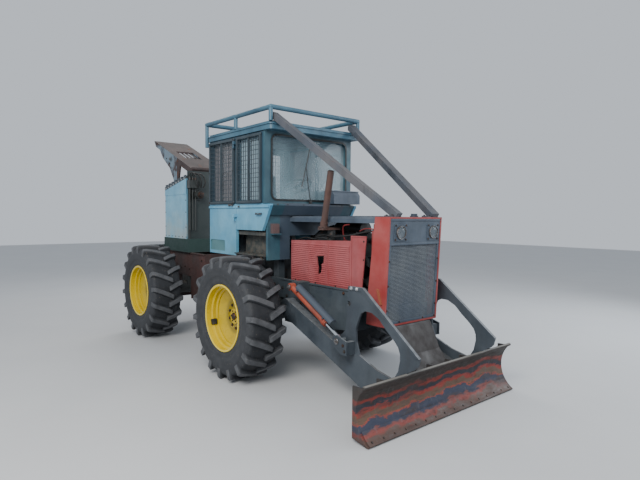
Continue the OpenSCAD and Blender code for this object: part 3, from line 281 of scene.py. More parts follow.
# Painted shade: the nose plate under the radiator is painted darker
FINISHES["frame_paint"].field((40, 35, 34), X=(1.71, 2.2), Z=(0.40, 0.825))
print("painted steels", len(PAINTS))

# %% [markdown]
# ## Red guard
# The louvred panels and the guard of the radiator were red once and are now a chalky pink red.
# The guard's inside edge and its radiator are dark, and its side strips are brown, which masks
# over the solid's own coordinates give.

# %% Dark core and side strips of the guard
guard = FINISHES["guard_red"]
guard.field((22, 25, 28), X=(1.60, 1.735), Y=(-0.4, 0.4), Z=(0.86, 1.9))
guard.field((50, 60, 72), soft=0.001, Z=(1.9475, 2.2))
guard.over((146, 84, 62), guard.off_middle(), 0.4205, 0.4215)
print("guard finish", guard.material.name)

# %% [markdown]
# ## Cab
# The doors and the rear half of the cab's sides are pale blue. The pressed panel low on the
# side is a darker blue-green, and the sheet above it has faded. The wall beside the engine is
# dark grey-blue, and only its outer strips keep the cab's blue-green.

# %% Door and wall paint
door = FINISHES["door_paint"]
door.field((66, 108, 116), X=(-1.276, -0.862), Z=(1.462, 1.610))
door.field((44, 74, 92), Z=(2.1, 3.1))
low_down = door.band(door.axis("Z"), 2.05, 1.55, 0.0, 0.6)
door.coat(door.times(low_down, door.band(door.noise(3.0), 0.35, 0.7)), (96, 136, 140))

wall = FINISHES["wall_paint"]
wall.field((60, 72, 86), Y=(-0.489, 0.489), Z=(1.30, 2.112))
wall.field((92, 74, 74), X=(0.1265, 0.2), Y=(-0.64, -0.51), Z=(1.732, 1.86))
wall.field((20, 22, 24), soft=0.001, X=(0.1268, 0.1365), Z=(2.12, 2.98))
print("cab finishes", door.material.name, wall.material.name)

# %% [markdown]
# ## Rear frame, tower and arch
# The rear frame is red-brown rust with dark patches, its deck is dark green. The tower's side
# plates are pale blue, chalky at the foot and dark along the bolted edge, and the plate between
# them is dark green. The arch has lost most of its paint.

# %% Rear finishes
FINISHES["rear_rust"].field((38, 60, 58), Z=(1.331, 1.6))

tower = FINISHES["tower_blue"]
foot = tower.band(tower.axis("Z"), 2.05, 1.60, 0.0, 0.8)
tower.coat(tower.times(foot, tower.band(tower.noise(5.0), 0.3, 0.6)), (164, 172, 170))
tower.over((50, 60, 68), tower.toward((-0.1989, 0, 1)), 2.884, 2.887)
tower.field((44, 56, 57), Y=(-0.4695, 0.4695))
tower.field((50, 54, 54), X=(-2.5595, -2.3))

arch = FINISHES["arch_rust"]
gusset = arch.times(arch.within(X=(-4.4, -3.30), Z=(2.5, 3.30)),
                    arch.band(arch.combine("ABSOLUTE", arch.facing("Y")), 0.7, 0.9))
arch.coat(arch.times(gusset, arch.band(arch.noise(5.0, detail=6.0), 0.60, 0.45)), (112, 130, 144))
print("rear finishes", tower.material.name, arch.material.name)

# %% [markdown]
# ## Blade
# Logs and stones have rubbed the blade's hollow face into long level bands: worn dark steel at
# the top, then red, dark blue, red and brown, blue, red, and brown at the cutting edge. A colour
# ramp over the height gives the bands. The height is first shaken by noise that is stretched
# along Y, so the borders wander, and a finer noise breaks them up.

# %% Blade paint
BLADE_HEIGHT = 0.51
BLADE_BANDS = (
    (0.00, (66, 52, 48)), (0.13, (80, 60, 52)), (0.17, (124, 54, 48)), (0.21, (104, 54, 50)),
    (0.235, (40, 48, 68)), (0.335, (44, 52, 72)), (0.355, (150, 62, 44)), (0.385, (92, 72, 58)),
    (0.46, (98, 74, 58)), (0.485, (142, 50, 40)), (0.535, (128, 46, 40)), (0.56, (38, 42, 54)),
    (0.64, (40, 43, 50)), (0.665, (138, 48, 38)), (0.71, (120, 46, 38)), (0.74, (50, 46, 42)),
    (1.00, (44, 44, 42)),
)
blade = Finish("blade_paint", (70, 54, 54), 0.55)
long_marks = blade.noise(3.2, stretch=(0.4, 0.5, 0.4), detail=3.0)
short_marks = blade.noise(17.0, stretch=(1.0, 0.35, 1.2), detail=7.0, roughness=0.72)
height = blade.times(blade.axis("Z"), 1 / BLADE_HEIGHT)
shaken = blade.combine("ADD", height, blade.band(long_marks, 0.3, 0.7, 0.0, 0.20))
shaken = blade.combine("ADD", shaken, blade.band(short_marks, 0.25, 0.75, 0.0, 0.13))
ramp = blade.add("ValToRGB", {0: blade.combine("SUBTRACT", shaken, 0.165)})
stops = ramp.color_ramp.elements
stops[0].color, stops[1].color = linear(BLADE_BANDS[0][1]), linear(BLADE_BANDS[-1][1])
for share, tint in BLADE_BANDS[1:-1]:
    stops.new(share).color = linear(tint)
blade.coat(0.94, ramp.outputs[0])
blade.speckle((62, 50, 46), 5.0, 0.50, 0.62, 0.72, 6.0, stretch=(1.0, 0.30, 1.6), roughness=0.66)
blade.over((58, 48, 45), short_marks, 0.56, 0.68, 0.75)
blade.speckle((90, 90, 94), 30.0, 0.60, 0.68, 0.25, 2.0, stretch=(1.0, 1.0, 0.08))
blade.field((108, 106, 102), Z=(0.515, 0.6))
# Painted shade: faces that look back are painted darker
blade.over((42, 42, 45), blade.facing("X"), 0.02, -0.05)
blade.roughen(short_marks, 0.3, 0.7, 0.45, 0.9)
blade.bump(short_marks, 0.35, 0.004)
print("blade finish", blade.material.name)

# %% [markdown]
# ## Push arms and lift cylinders
# The arms are dark grey-blue. Their faces that look up are lighter in patches, partly steel rubbed by
# chains and partly a painted highlight. The lift cylinder's tube is faded orange under a grey-blue
# half-round cover, and one material serves
# both: the cover lies farther than the tube from the line between the two pins.

# %% Arm and cylinder finishes
arm = FINISHES["arm_paint"]
# Lighter grey on faces that look up: chain wear and a painted highlight
rubbed_and_lit_top = arm.times(arm.band(arm.facing("Z"), 0.25, 0.6), arm.within(Z=(0.5, 1.3)))
arm.coat(arm.times(rubbed_and_lit_top, arm.band(arm.noise(16.0), 0.4, 0.6, 0.15, 0.5)), (132, 138, 144))

LIFT_EYE = at(0.640, 0, 1.135)
LIFT_ROD_EYE = at(1.500, 0, 0.680)
along = (LIFT_ROD_EYE - LIFT_EYE).normalized()
upward = Vector((-along.z, 0, along.x))
lift = FINISHES["cylinder_orange"]
middle, start = LIFT_EYE.dot(upward), LIFT_EYE.dot(along)
above = lift.band(lift.toward(upward), middle + 0.036, middle + 0.040)
past_eye = lift.band(lift.toward(along), start + 0.100, start + 0.105)
lift.coat(lift.times(above, past_eye), (58, 68, 80))
print("lift cylinder tilt", round(math.degrees(math.atan2(-along.z, along.x)), 1))

# %% [markdown]
# ## Bare metals, rubber, plastic and cloth
# These need other shaders than paint: chrome on the piston rods, oily iron on the engine, a
# burnt pipe, dusty rubber whose lug tops are rubbed grey and deep yellow rims with a gloss.
# Small parts share a plain recipe of one colour with spots and a fine grain.

# %% Metals
chrome = Finish("rod_chrome", (205, 210, 214), 0.12, 1.0)
chrome.roughen(chrome.noise(30.0, stretch=(0.2, 1, 1)), 0.3, 0.7, 0.08, 0.26)
chrome.bump(chrome.noise(160.0), 0.03, 0.0005)

iron = Finish("engine_iron", (42, 46, 50), 0.5, 0.35)
oil = iron.noise(6.0, detail=6.0)
iron.over((64, 66, 66), oil, 0.4, 0.62)
iron.speckle(RUST, 18.0, 0.6, 0.68, detail=7.0)
iron.roughen(oil, 0.35, 0.65, 0.3, 0.75)
iron.bump(iron.noise(90.0, detail=3.0), 0.25, 0.0015)

pipe = Finish("pipe_rust", (70, 56, 53), 0.8)
burnt = pipe.noise(9.0, stretch=(1, 1, 0.35), detail=7.0, roughness=0.7)
pipe.over((86, 62, 56), burnt, 0.4, 0.55)
pipe.over((58, 42, 38), burnt, 0.56, 0.68)
pipe.over((52, 48, 48), pipe.axis("Z"), 2.35, 2.47, 0.6)
pipe.bump(burnt, 0.4, 0.003)

steel = Finish("bare_steel", (120, 120, 122), 0.45, 0.8)
scuffs = steel.noise(26.0, detail=6.0)
steel.over((84, 74, 68), scuffs, 0.45, 0.62)
steel.roughen(scuffs, 0.3, 0.7, 0.3, 0.7)
steel.bump(scuffs, 0.2, 0.001)
print("metals ready, finishes", len(FINISHES))

# %% Floor mat and small parts
mat = Finish("floor_paint", (50, 56, 56), 0.7)
tread_marks = mat.noise(12.0, detail=6.0)
mat.over((82, 80, 74), tread_marks, 0.42, 0.6)
mat.speckle(RUST, 30.0, 0.6, 0.7, detail=6.0)
mat.bump(tread_marks, 0.3, 0.002)

# Name: colour, roughness, metal, spots (colour, scale, low, high, share, detail) and
# grain (scale, detail, strength, depth)
PLAIN = {
    "zinc": ((176, 180, 184), 0.4, 0.6, ((120, 112, 104), 60.0, 0.52, 0.64, 0.7, 5.0),
             (180.0, 4.0, 0.12, 0.0005)),
    "dark_bolt": ((56, 52, 50), 0.5, 0.6, (RUST, 40.0, 0.5, 0.62, 1.0, 5.0),
                  (200.0, 4.0, 0.15, 0.0005)),
    "console_plastic": ((34, 35, 37), 0.55, 0.0, ((54, 54, 54), 7.0, 0.45, 0.65, 0.5, 4.0),
                        (420.0, 2.0, 0.2, 0.0004)),
    "hose_rubber": ((26, 27, 29), 0.6, 0.0, ((60, 57, 54), 20.0, 0.5, 0.7, 0.6, 4.0),
                    (240.0, 4.0, 0.2, 0.0006)),
    "red_plastic": ((120, 38, 40), 0.55, 0.0, ((82, 40, 38), 25.0, 0.5, 0.7, 0.6, 4.0),
                    (180.0, 4.0, 0.1, 0.0006)),
}
for name, (colour, roughness, metal, spots, (scale, detail, strength, depth)) in PLAIN.items():
    plain = Finish(name, colour, roughness, metal)
    plain.speckle(*spots)
    plain.bump(plain.noise(scale, detail=detail), strength, depth)
print("finishes so far", len(FINISHES))

# %% Rubber, rims and cloth
rubber = Finish("tyre_rubber", (28, 31, 36), 0.82)
tread = rubber.noise(11.0, detail=6.0, roughness=0.65)
rubber.over((47, 50, 55), tread, 0.42, 0.66, 0.65)
wear = rubber.add("Attribute", {}, attribute_name="wear").outputs["Fac"]
rubber.coat(rubber.times(wear, rubber.band(tread, 0.3, 0.6, 0.35, 0.9)), (86, 88, 92))
rubber.speckle((104, 96, 86), 34.0, 0.62, 0.7, 0.45)
rubber.roughen(tread, 0.3, 0.7, 0.62, 0.95)
rubber.bump(rubber.noise(70.0, detail=5.0), 0.3, 0.0015)

rim = Finish("rim_yellow", (206, 176, 0), 0.32)
rim.set("Coat Weight", 0.35)
rim.set("Coat Roughness", 0.12)
splash = rim.noise(8.0, detail=7.0, roughness=0.68)
rim.over((148, 124, 4), splash, 0.50, 0.70, 0.45)
out = rim.off_middle()
# Painted shade towards the disc and round its edge, and a painted highlight along the flange
for low, high, share, tint in ((1.20, 1.06, 0.5, (144, 124, 2)), (1.060, 1.048, 0.75, (112, 98, 22)),
                               (1.244, 1.2495, 0.7, (242, 222, 96))):
    rim.over(tint, out, low, high, share)
rim.speckle((84, 66, 24), 26.0, 0.66, 0.72, 0.8, 6.0)
rim.roughen(splash, 0.35, 0.7, 0.24, 0.6)
rim.bump(rim.noise(60.0), 0.05, 0.001)

cloth = Finish("seat_cloth", (38, 38, 42), 0.92)
weave = cloth.weave(150.0)
cloth.over((62, 62, 68), weave, 0.3, 0.7, 0.4)
cloth.speckle(DUST, 6.0, 0.5, 0.7, 0.5)
cloth.set("Sheen Weight", 0.3)
cloth.bump(weave, 0.35, 0.0006)
print("soft finishes", rubber.material.name, cloth.material.name)

# %% [markdown]
# ## Glass
# The panes carry a film of dust. They let light through by their alpha and keep a sharp
# reflection, so the cab's inside shows as it does in the photograph. The dust thickens at the
# lower edge of the windshield, and the side panes are milky. The lamp glass has a ribbed bump.

# %% Glass
FILM = {"scale": 3.0, "stretch": (1, 1, 0.5), "detail": 6.0}

window = Finish("window_glass", (150, 178, 190), 0.06)
window.set("IOR", 1.5)
window.set("Specular IOR Level", 0.8)
film = window.noise(**FILM)
low_dust = window.band(window.axis("Z"), 2.45, 2.12, 0.0, 0.16)
dusty = window.combine("ADD", window.band(film, 0.4, 0.75, 0.16, 0.34), low_dust)
window.roughen(film, 0.45, 0.75, 0.03, 0.25)
milky = window.band(window.combine("ABSOLUTE", window.facing("Y")), 0.8, 0.9)
window.coat(milky, (150, 148, 152))
window.set("Alpha", window.combine("ADD", dusty, window.times(milky, 0.42)))

side_pane = Finish("side_glass", (168, 192, 204), 0.1)
side_pane.set("Specular IOR Level", 0.8)
film = side_pane.noise(**FILM)
side_pane.over((138, 142, 146), side_pane.axis("X"), AXLE_X - 0.54, AXLE_X - 0.56)
side_pane.set("Alpha", side_pane.band(film, 0.4, 0.7, 0.62, 0.82))
side_pane.roughen(film, 0.45, 0.75, 0.06, 0.3)

lamp = Finish("lamp_glass", (120, 132, 142), 0.1)
lamp.set("Alpha", 0.35)
lamp.bump(lamp.noise(55.0, stretch=(1, 1, 0.1), detail=0.0), 0.4, 0.002)
print("finishes", len(FINISHES))

# %% [markdown]
# ## The finish of every solid
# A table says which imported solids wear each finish, by the start of their names, and the longest
# start that fits counts. What a later step replaces gets a finish all the same, so that no
# solid is left bare.

# %% Finishes of the solids
WORN_BY = {
    "frame_paint": "front_frame", "axle_paint": "front_axle rear_axle steer_barrel",
    "engine_iron": "engine", "grille_paint": "bonnet grille air_box", "panel_red": "louvre_panels",
    "guard_red": "radiator_guard", "floor_paint": "cab_floor", "wall_paint": "cab_front_wall",
    "cab_paint": "cab_rear_wall roof", "door_paint": "cab_sides door", "window_glass": "cab_glass",
    "screen_paint": "side_screens door_screen", "riser_paint": "limb_risers",
    "pipe_rust": "exhaust_pipe", "seat_cloth": "seat", "console_plastic": "steering_console",
    "blade_paint": "blade", "arm_paint": "push_arms", "rear_rust": "rear_frame",
    "tower_blue": "tower", "arch_rust": "arch", "bare_steel": "winch_drum fairlead_roller",
    "side_glass": "door_glass", "cylinder_orange": "lift_barrel",
    "rod_chrome": "lift_rod steer_rod", "tyre_rubber": "tyre", "rim_yellow": "rim",
}
FINISH_OF = {start: finish for finish, starts in WORN_BY.items() for start in starts.split()}
for name, solid in nodes.items():
    start = max((start for start in FINISH_OF if name.startswith(start)), key=len)
    solid.data.materials.clear()
    solid.data.materials.append(FINISHES[FINISH_OF[start]].material)
print("solids dressed", len(nodes))

# %% [markdown]
# ## New pieces
# A new piece is a mesh at the origin, already in its place, that rides on one body of the
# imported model. The next functions make one from a list of points and faces, from a tube along a
# line, or from a box with small bevels. Several shapes are joined before they become a piece.

# %% Shapes
def box_shape(low, high, bevel=0.003):
    """A box between two corners with bevelled edges, as points and faces."""
    low, high = Vector(low), Vector(high)
    mesh = bmesh.new()
    bmesh.ops.create_cube(mesh, size=1.0)
    bmesh.ops.scale(mesh, verts=mesh.verts, vec=high - low)
    bmesh.ops.translate(mesh, verts=mesh.verts, vec=(low + high) / 2)
    width = min(bevel, 0.3 * min(high - low))
    bmesh.ops.bevel(mesh, geom=mesh.edges, offset=width, segments=2, profile=0.6, affect="EDGES")
    mesh.verts.index_update()
    points = [vert.co.copy() for vert in mesh.verts]
    faces = [[vert.index for vert in face.verts] for face in mesh.faces]
    mesh.free()
    return points, faces


def skin(rings, sides, closed=False):
    """Faces over rings of points that follow each other, with two end caps or closed to a loop."""
    faces = []
    for i in range(rings if closed else rings - 1):
        low, high = i * sides, (i + 1) % rings * sides
        faces += [[low + k, low + (k + 1) % sides, high + (k + 1) % sides, high + k]
                  for k in range(sides)]
    if not closed:
        faces += [list(range(sides))[::-1], list(range((rings - 1) * sides, rings * sides))]
    return faces


def lathe_shape(profile, middle, along, sides=32, closed=False):
    """A profile of (radius, height) turned round an axis through middle."""
    turn = Vector(along).to_track_quat("Z", "Y")
    angles = [2 * math.pi * k / sides for k in range(sides)]
    points = [Vector(middle)
              + turn @ Vector((radius * math.cos(angle), radius * math.sin(angle), height))
              for radius, height in profile for angle in angles]
    return points, skin(len(profile), sides, closed)


print("faces of a plain box", len(box_shape((0, 0, 0), (1, 1, 1))[1]))


# %% Tubes and hoses
def tube_shape(line, radius, sides=10):
    """A round tube along a line of points, with closed ends."""
    line = [Vector(point) for point in line]
    points, side = [], None
    for i, point in enumerate(line):
        ahead = (line[min(i + 1, len(line) - 1)] - line[max(i - 1, 0)]).normalized()
        if side is None:
            side = ahead.orthogonal().normalized()
        side = (side - ahead * side.dot(ahead)).normalized()
        other = ahead.cross(side)
        for k in range(sides):
            angle = 2 * math.pi * k / sides
            points.append(point + radius * (math.cos(angle) * side + math.sin(angle) * other))
    return points, skin(len(line), sides)


def hose_shape(knots, radius, sides=10, steps=6):
    """A tube along a smooth curve through knots on the machine."""
    knots = [at(*knot) for knot in knots]
    ends = [2 * knots[0] - knots[1], *knots, 2 * knots[-1] - knots[-2]]
    line = []
    for i in range(1, len(ends) - 2):
        a, b, c, d = ends[i - 1:i + 3]
        for t in (step / steps for step in range(steps)):
            line.append(0.5 * (2 * b + (c - a) * t + (2 * a - 5 * b + 4 * c - d) * t * t
                               + (3 * b - a - 3 * c + d) * t * t * t))
    return tube_shape(line + [knots[-1]], radius, sides)


print("faces of a short tube", len(tube_shape([(0, 0, 0), (0, 0, 1)], 0.1)[1]))


# %% Making a piece
def join_shapes(shapes):
    points, faces = [], []
    for more_points, more_faces in shapes:
        first = len(points)
        points.extend(more_points)
        faces.extend([[index + first for index in face] for face in more_faces])
    return points, faces


def mesh_of(name, shape, smooth):
    """A mesh that is smooth, with sharp edges where two faces meet at more than smooth degrees."""
    mesh = bpy.data.meshes.new(name)
    mesh.from_pydata(shape[0], [], shape[1])
    mesh.validate()
    mesh.shade_smooth()
    mesh.set_sharp_from_angle(angle=math.radians(smooth))
    return mesh


def seat_on(made, body, slot, replaces=()):
    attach(made, body)
    if replaces:
        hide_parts(*replaces)
    return made


def piece(name, shapes, finish, body, slot, replaces=(), smooth=32):
    mesh = mesh_of(name, join_shapes(shapes), smooth)
    mesh.materials.append(FINISHES[finish].material)
    return seat_on(new_object(name, mesh), body, slot, replaces)


# %% [markdown]
# ## Copies by Geometry Nodes
# Lugs, bolts, mesh bars and rope turns repeat many times. A small Geometry Nodes tree sets one
# part on every point of a cloud, turned and sized by two attributes of the point, and gives all
# copies one material. Its result becomes one plain mesh.

# %% The copies tree
copies_tree = bpy.data.node_groups.new("Copies on points", "GeometryNodeTree")
copies_tree.is_modifier = True
for name, way, kind in (("Places", "INPUT", "Geometry"), ("Part", "INPUT", "Object"),
                        ("Finish", "INPUT", "Material"), ("Copies", "OUTPUT", "Geometry")):
    copies_tree.interface.new_socket(name, in_out=way, socket_type="NodeSocket" + kind)
add, link = copies_tree.nodes.new, copies_tree.links.new
came, gone = add("NodeGroupInput"), add("NodeGroupOutput")
part_info, on_points = add("GeometryNodeObjectInfo"), add("GeometryNodeInstanceOnPoints")
real, coated = add("GeometryNodeRealizeInstances"), add("GeometryNodeSetMaterial")
turn, size = add("GeometryNodeInputNamedAttribute"), add("GeometryNodeInputNamedAttribute")
for node, name in ((turn, "turn"), (size, "size")):
    node.data_type = "FLOAT_VECTOR"
    node.inputs["Name"].default_value = name
rotation = add("FunctionNodeEulerToRotation")
for giver, given, taker, taken in (
        (came, "Part", part_info, "Object"), (came, "Places", on_points, "Points"),
        (part_info, "Geometry", on_points, "Instance"), (turn, "Attribute", rotation, "Euler"),
        (rotation, "Rotation", on_points, "Rotation"), (size, "Attribute", on_points, "Scale"),
        (on_points, "Instances", real, "Geometry"), (real, "Geometry", coated, "Geometry"),
        (came, "Finish", coated, "Material"), (coated, "Geometry", gone, "Copies")):
    link(giver.outputs[given], taker.inputs[taken])
print("copies tree has", len(copies_tree.nodes), "nodes")


# %% Setting copies out
def set_out(name, shape, places, finish, body, slot, replaces=(), smooth=32, wear=None):
    """Sets the shape on every place, a list of (point, euler turn, size), and makes one piece."""
    part = new_object(name + "_part", mesh_of(name + "_part", shape, smooth))
    if wear:
        part.data.attributes.new("wear", "FLOAT", "POINT").data.foreach_set("value", wear)
    cloud = bpy.data.meshes.new(name + "_places")
    cloud.from_pydata([place[0] for place in places], [], [])
    for key, column in (("turn", 1), ("size", 2)):
        values = [number for place in places for number in place[column]]
        cloud.attributes.new(key, "FLOAT_VECTOR", "POINT").data.foreach_set("vector", values)
    made = new_object(name, cloud)
    modifier = made.modifiers.new("Copies", "NODES")
    modifier.node_group = copies_tree
    sockets = {item.name: item.identifier for item in copies_tree.interface.items_tree}
    modifier[sockets["Part"]] = part
    modifier[sockets["Finish"]] = FINISHES[finish].material
    bpy.context.view_layer.update()
    graph = bpy.context.evaluated_depsgraph_get()
    mesh = bpy.data.meshes.new_from_object(made.evaluated_get(graph), preserve_all_data_layers=True,
                                           depsgraph=graph)
    made.modifiers.remove(modifier)
    made.data = mesh
    mesh.name = name
    part_mesh = part.data
    bpy.data.objects.remove(part)
    bpy.data.meshes.remove(part_mesh)
    bpy.data.meshes.remove(cloud)
    return seat_on(made, body, slot, replaces)


print("copies are set by", [item.name for item in copies_tree.interface.items_tree])

# %% [markdown]
# ## Tyres
# A forestry tyre is a smooth casing with 18 tall bars on each half. The outer bars start past
# the middle and the inner ones just beside it, halfway between them. Each slants to the shoulder
# and runs down the sidewall there. The casing is a turned profile. One bar is modelled for each
# half and set round the wheel by the copies tree.

# %% Casing of a tyre
# Distance from the middle plane and radius, from the tread down to the bead
CASING = [
    (0.000, 0.693), (0.120, 0.691), (0.175, 0.683), (0.203, 0.668), (0.219, 0.645),
    (0.2275, 0.615), (0.2295, 0.606), (0.2325, 0.602), (0.2335, 0.580), (0.2338, 0.550),
    (0.2312, 0.510), (0.2295, 0.500), (0.2262, 0.496), (0.2215, 0.470), (0.2170, 0.452),
    (0.2190, 0.446), (0.2120, 0.428), (0.2048, 0.407), (0.2010, 0.4016), (0.2000, 0.3880),
]
INSIDE = [(0.140, 0.3885), (0.165, 0.560), (0.120, 0.640), (0.0, 0.650)]


def casing_shape(middle):
    outer = [(radius, out) for out, radius in CASING + INSIDE]
    loop = outer + [(radius, -out) for radius, out in outer[-2:0:-1]]
    return lathe_shape(loop, middle, LEFT, sides=88, closed=True)


print("casing rings", 2 * len(CASING + INSIDE) - 2)

# %% One bar of the tread
BAR_COUNT = 18
BAR_SLOPE = math.radians(38.0)  # Turn round the wheel for each metre across the tread
BAR_HALF = 0.0300
# Beside the bar's half width: how far its foot and flank spread, and its top edge draws in
BAR_FOOT, BAR_FLANK, BAR_EDGE = 0.013, 0.004, 0.003
# From the shoulder down: distance from the middle plane and radius, of the casing and of the top
SHOULDER_ROWS = [
    (0.160, 0.684, 0.166, 0.7318), (0.180, 0.680, 0.192, 0.7305), (0.198, 0.669, 0.217, 0.7265),
    (0.208, 0.658, 0.2305, 0.7150), (0.216, 0.643, 0.2342, 0.6920), (0.222, 0.622, 0.2342, 0.6560),
    (0.226, 0.600, 0.2342, 0.6200), (0.228, 0.590, 0.2320, 0.6020),
]


def bar_rows(nose):
    """Rows of a bar whose blunt end lies at the distance nose from the middle plane."""
    rows = [(nose, 0.692, nose + 0.002, 0.7290), (nose + 0.009, 0.692, nose + 0.009, 0.7345)]
    crown = [nose + (0.160 - nose) * share for share in (0.25, 0.5, 0.75)]
    rows += [(out, 0.692, out, 0.7347) for out in crown] + SHOULDER_ROWS
    return [(out, low, BAR_SLOPE * (min(out, 0.205) - nose), top_out, top)
            for out, low, top_out, top in rows]


def bar_shape(half, nose):
    """One bar about the Y axis; half is +1 or -1, the side of the middle plane it lies on."""
    points, wear = [], []
    rows = bar_rows(nose)
    for i, (out, low, turned, top_out, top) in enumerate(rows):
        before, after = rows[max(i - 1, 0)], rows[min(i + 1, len(rows) - 1)]
        run = max(math.hypot(after[0] - before[0], after[1] - before[1]), 1e-6)
        slant = math.atan2((after[2] - before[2]) * top, run)
        width = BAR_HALF / math.cos(slant) * (0.8 if i == 0 else 1.0)
        # Across the bar: foot, flank and top edge on either side, with how much each is rubbed
        foot, edge = (out, low - 0.004, 0.0), (top_out, top, 1.0)
        flank = (0.78 * top_out + 0.22 * out, 0.72 * top + 0.28 * low, 0.3)
        steps = [(width + BAR_FOOT, foot), (width + BAR_FLANK, flank), (width - BAR_EDGE, edge)]
        for shift, (side, radius, rub) in [(-shift, spot) for shift, spot in steps] + steps[::-1]:
            angle = turned + shift / top
            points.append(Vector((radius * math.cos(angle), half * side, radius * math.sin(angle))))
            wear.append(rub)
    faces = [[a, a + 6, a + 7, a + 1] for i in range(len(rows) - 1) for a in range(i * 6, i * 6 + 5)]
    faces += [list(range(6)), list(range(len(points) - 1, len(points) - 7, -1))]
    if half < 0:
        faces = [face[::-1] for face in faces]
    return points, faces, wear


print("bar rows", len(bar_rows(0.0)), "points", len(bar_shape(1, 0.0)[0]))


# %% The four tyres
def make_tyre(wheel, middle, sign):
    body, node = f"wheel_{wheel}", f"tyre_{wheel}"
    made = [piece(node + "_casing", [casing_shape(middle)], "tyre_rubber", body, "tyre_rubber",
                  [node], smooth=50)]
    flank = [0.25 if abs(vert.co.y - middle.y) > 0.2 else 0.0 for vert in made[0].data.vertices]
    made[0].data.attributes.new("wear", "FLOAT", "POINT").data.foreach_set("value", flank)
    for row, half, nose, first in (("outer", sign, -0.078, -2.9),
                                   ("inner", -sign, 0.012, -2.9 + 180 / BAR_COUNT)):
        points, faces, wear = bar_shape(half, nose)
        # A turn about +Y carries Z towards X, so the angles count down
        places = [(middle, (0.0, -math.radians(first + 360 * k / BAR_COUNT), 0.0), (1.0, 1.0, 1.0))
                  for k in range(BAR_COUNT)]
        made.append(set_out(f"{node}_bars_{row}", (points, faces), places, "tyre_rubber", body,
                            "tyre_rubber", [node], smooth=38, wear=wear))
    return made


tyres = [made for wheel in WHEELS for made in make_tyre(*wheel)]
print("tyre triangles", sum(len(p.vertices) - 2 for made in tyres for p in made.data.polygons))

# %% [markdown]
# ## Bolts
# Hexagon bolts hold nearly everything, and they give the eye a scale. One head with its washer
# is modelled at a size of one metre across and set out by tables: a point, the way it faces and
# how wide it is. All bolts of a body are one piece.

# %% A bolt and its tables
def bolt_shape():
    angles = [math.radians(60 * k) for k in range(6)]
    corners = [(math.cos(angle) / 2, math.sin(angle) / 2) for angle in angles]
    points = [Vector((x * scale, y * scale, height))
              for scale, height in ((1.0, 0.08), (1.0, 0.36), (0.86, 0.42)) for x, y in corners]
    faces = skin(3, 6)
    del faces[-2]  # The underside lies on the washer
    washer = lathe_shape([(0.62, -0.02), (0.66, 0.06), (0.62, 0.09)], (0, 0, 0), UP, sides=14)
    return join_shapes([(points, faces), washer])


def set_bolts(name, rows, finish, body, slot):
    """Sets a bolt for each row of (point, direction, size), each turned a little more."""
    places = []
    for i, (point, direction, size) in enumerate(rows):
        spin = Matrix.Rotation(0.4 * i, 3, "Z").to_quaternion()
        turn = Vector(direction).to_track_quat("Z", "Y") @ spin
        places.append((point, tuple(turn.to_euler()), (size, size, size)))
    return set_out(name, bolt_shape(), places, finish, body, slot)


def grid(xs, ys, zs, direction, size):
    """Rows for a bolt at every meeting of the given X, Y and Z places."""
    return [(at(x, y, z), direction, size) for z in zs for x in xs for y in ys]


def pairs(places, y, size):
    """Rows for bolts on a side plate, each at its own X and Z."""
    return [(at(x, y, z), LEFT, size) for x, z in places]


def circle(middle, radius, count, first=0.0):
    """Points round a middle, in a plane across the Y axis."""
    angles = [2 * math.pi * (k + first) / count for k in range(count)]
    return [middle + Vector((radius * math.cos(angle), 0, radius * math.sin(angle)))
            for angle in angles]


def both(rows):
    """The rows of the left side and the same mirrored to the right."""
    return rows + [(Vector((p.x, -p.y, p.z)), (d[0], -d[1], d[2]), size) for p, d, size in rows]


print("bolt faces", len(bolt_shape()[1]))

# %% Wheel bolts, hub caps and valve pads
for wheel, middle, sign in WHEELS:
    outward = (0, sign, 0)
    rows = []
    # Ten nuts hold the rim and six bolts hold the hub's cover
    for count, first, radius, out, size in ((10, 0.5, 0.148, 0.008, 0.032),
                                            (6, 0.0, 0.066, 0.034, 0.017)):
        rows += [(point, outward, size)
                 for point in circle(middle + Vector((0, sign * out, 0)), radius, count, first)]
    set_bolts(f"wheel_bolts_{wheel}", rows, "dark_bolt", f"wheel_{wheel}", "rim_yellow")
    cap = lathe_shape([(0.044, 0.0), (0.044, 0.010), (0.036, 0.018), (0.012, 0.020)],
                      middle + Vector((0, sign * 0.034, 0)), outward, sides=24)
    piece(f"hub_cap_{wheel}", [cap], "dark_bolt", f"wheel_{wheel}", "rim_yellow")
    # A square rubber pad on the barrel guards the air valve
    across = Matrix.Rotation(-math.radians(198 if wheel.startswith("front") else 75), 3, "Y")
    inner, outer = sorted((sign * 0.090, sign * 0.158))
    points, faces = box_shape((0.326, inner, -0.036), (0.380, outer, 0.036), bevel=0.012)
    pad = ([middle + across @ point for point in points], faces)
    piece(f"valve_pad_{wheel}", [pad], "hose_rubber", f"wheel_{wheel}", "rim_yellow")
    print(f"bolts of wheel_{wheel}", len(rows))

# %% [markdown]
# ## Window guards
# Each side window and the rear one have a steel frame with a middle bar and a welded mesh of
# 6 mm wire. Frame, bar and wires are set out as bars of one shape in many sizes, and stand for
# the solid. The bars are told in the guard's own plane: across, outward and up.

# %% Window guards
BAR = box_shape((-0.5, -0.5, -0.5), (0.5, 0.5, 0.5), bevel=0.06)
CAB_SIDE = 0.715
CAB_REAR = -1.300
GUARD_EDGE = 0.030
GUARD_WIRE = 0.0065


def bar_between(low, high):
    """A place for the unit bar that fills the box between two corners."""
    low, high = Vector(low), Vector(high)
    return ((low + high) / 2, (0.0, 0.0, 0.0), tuple(high - low))


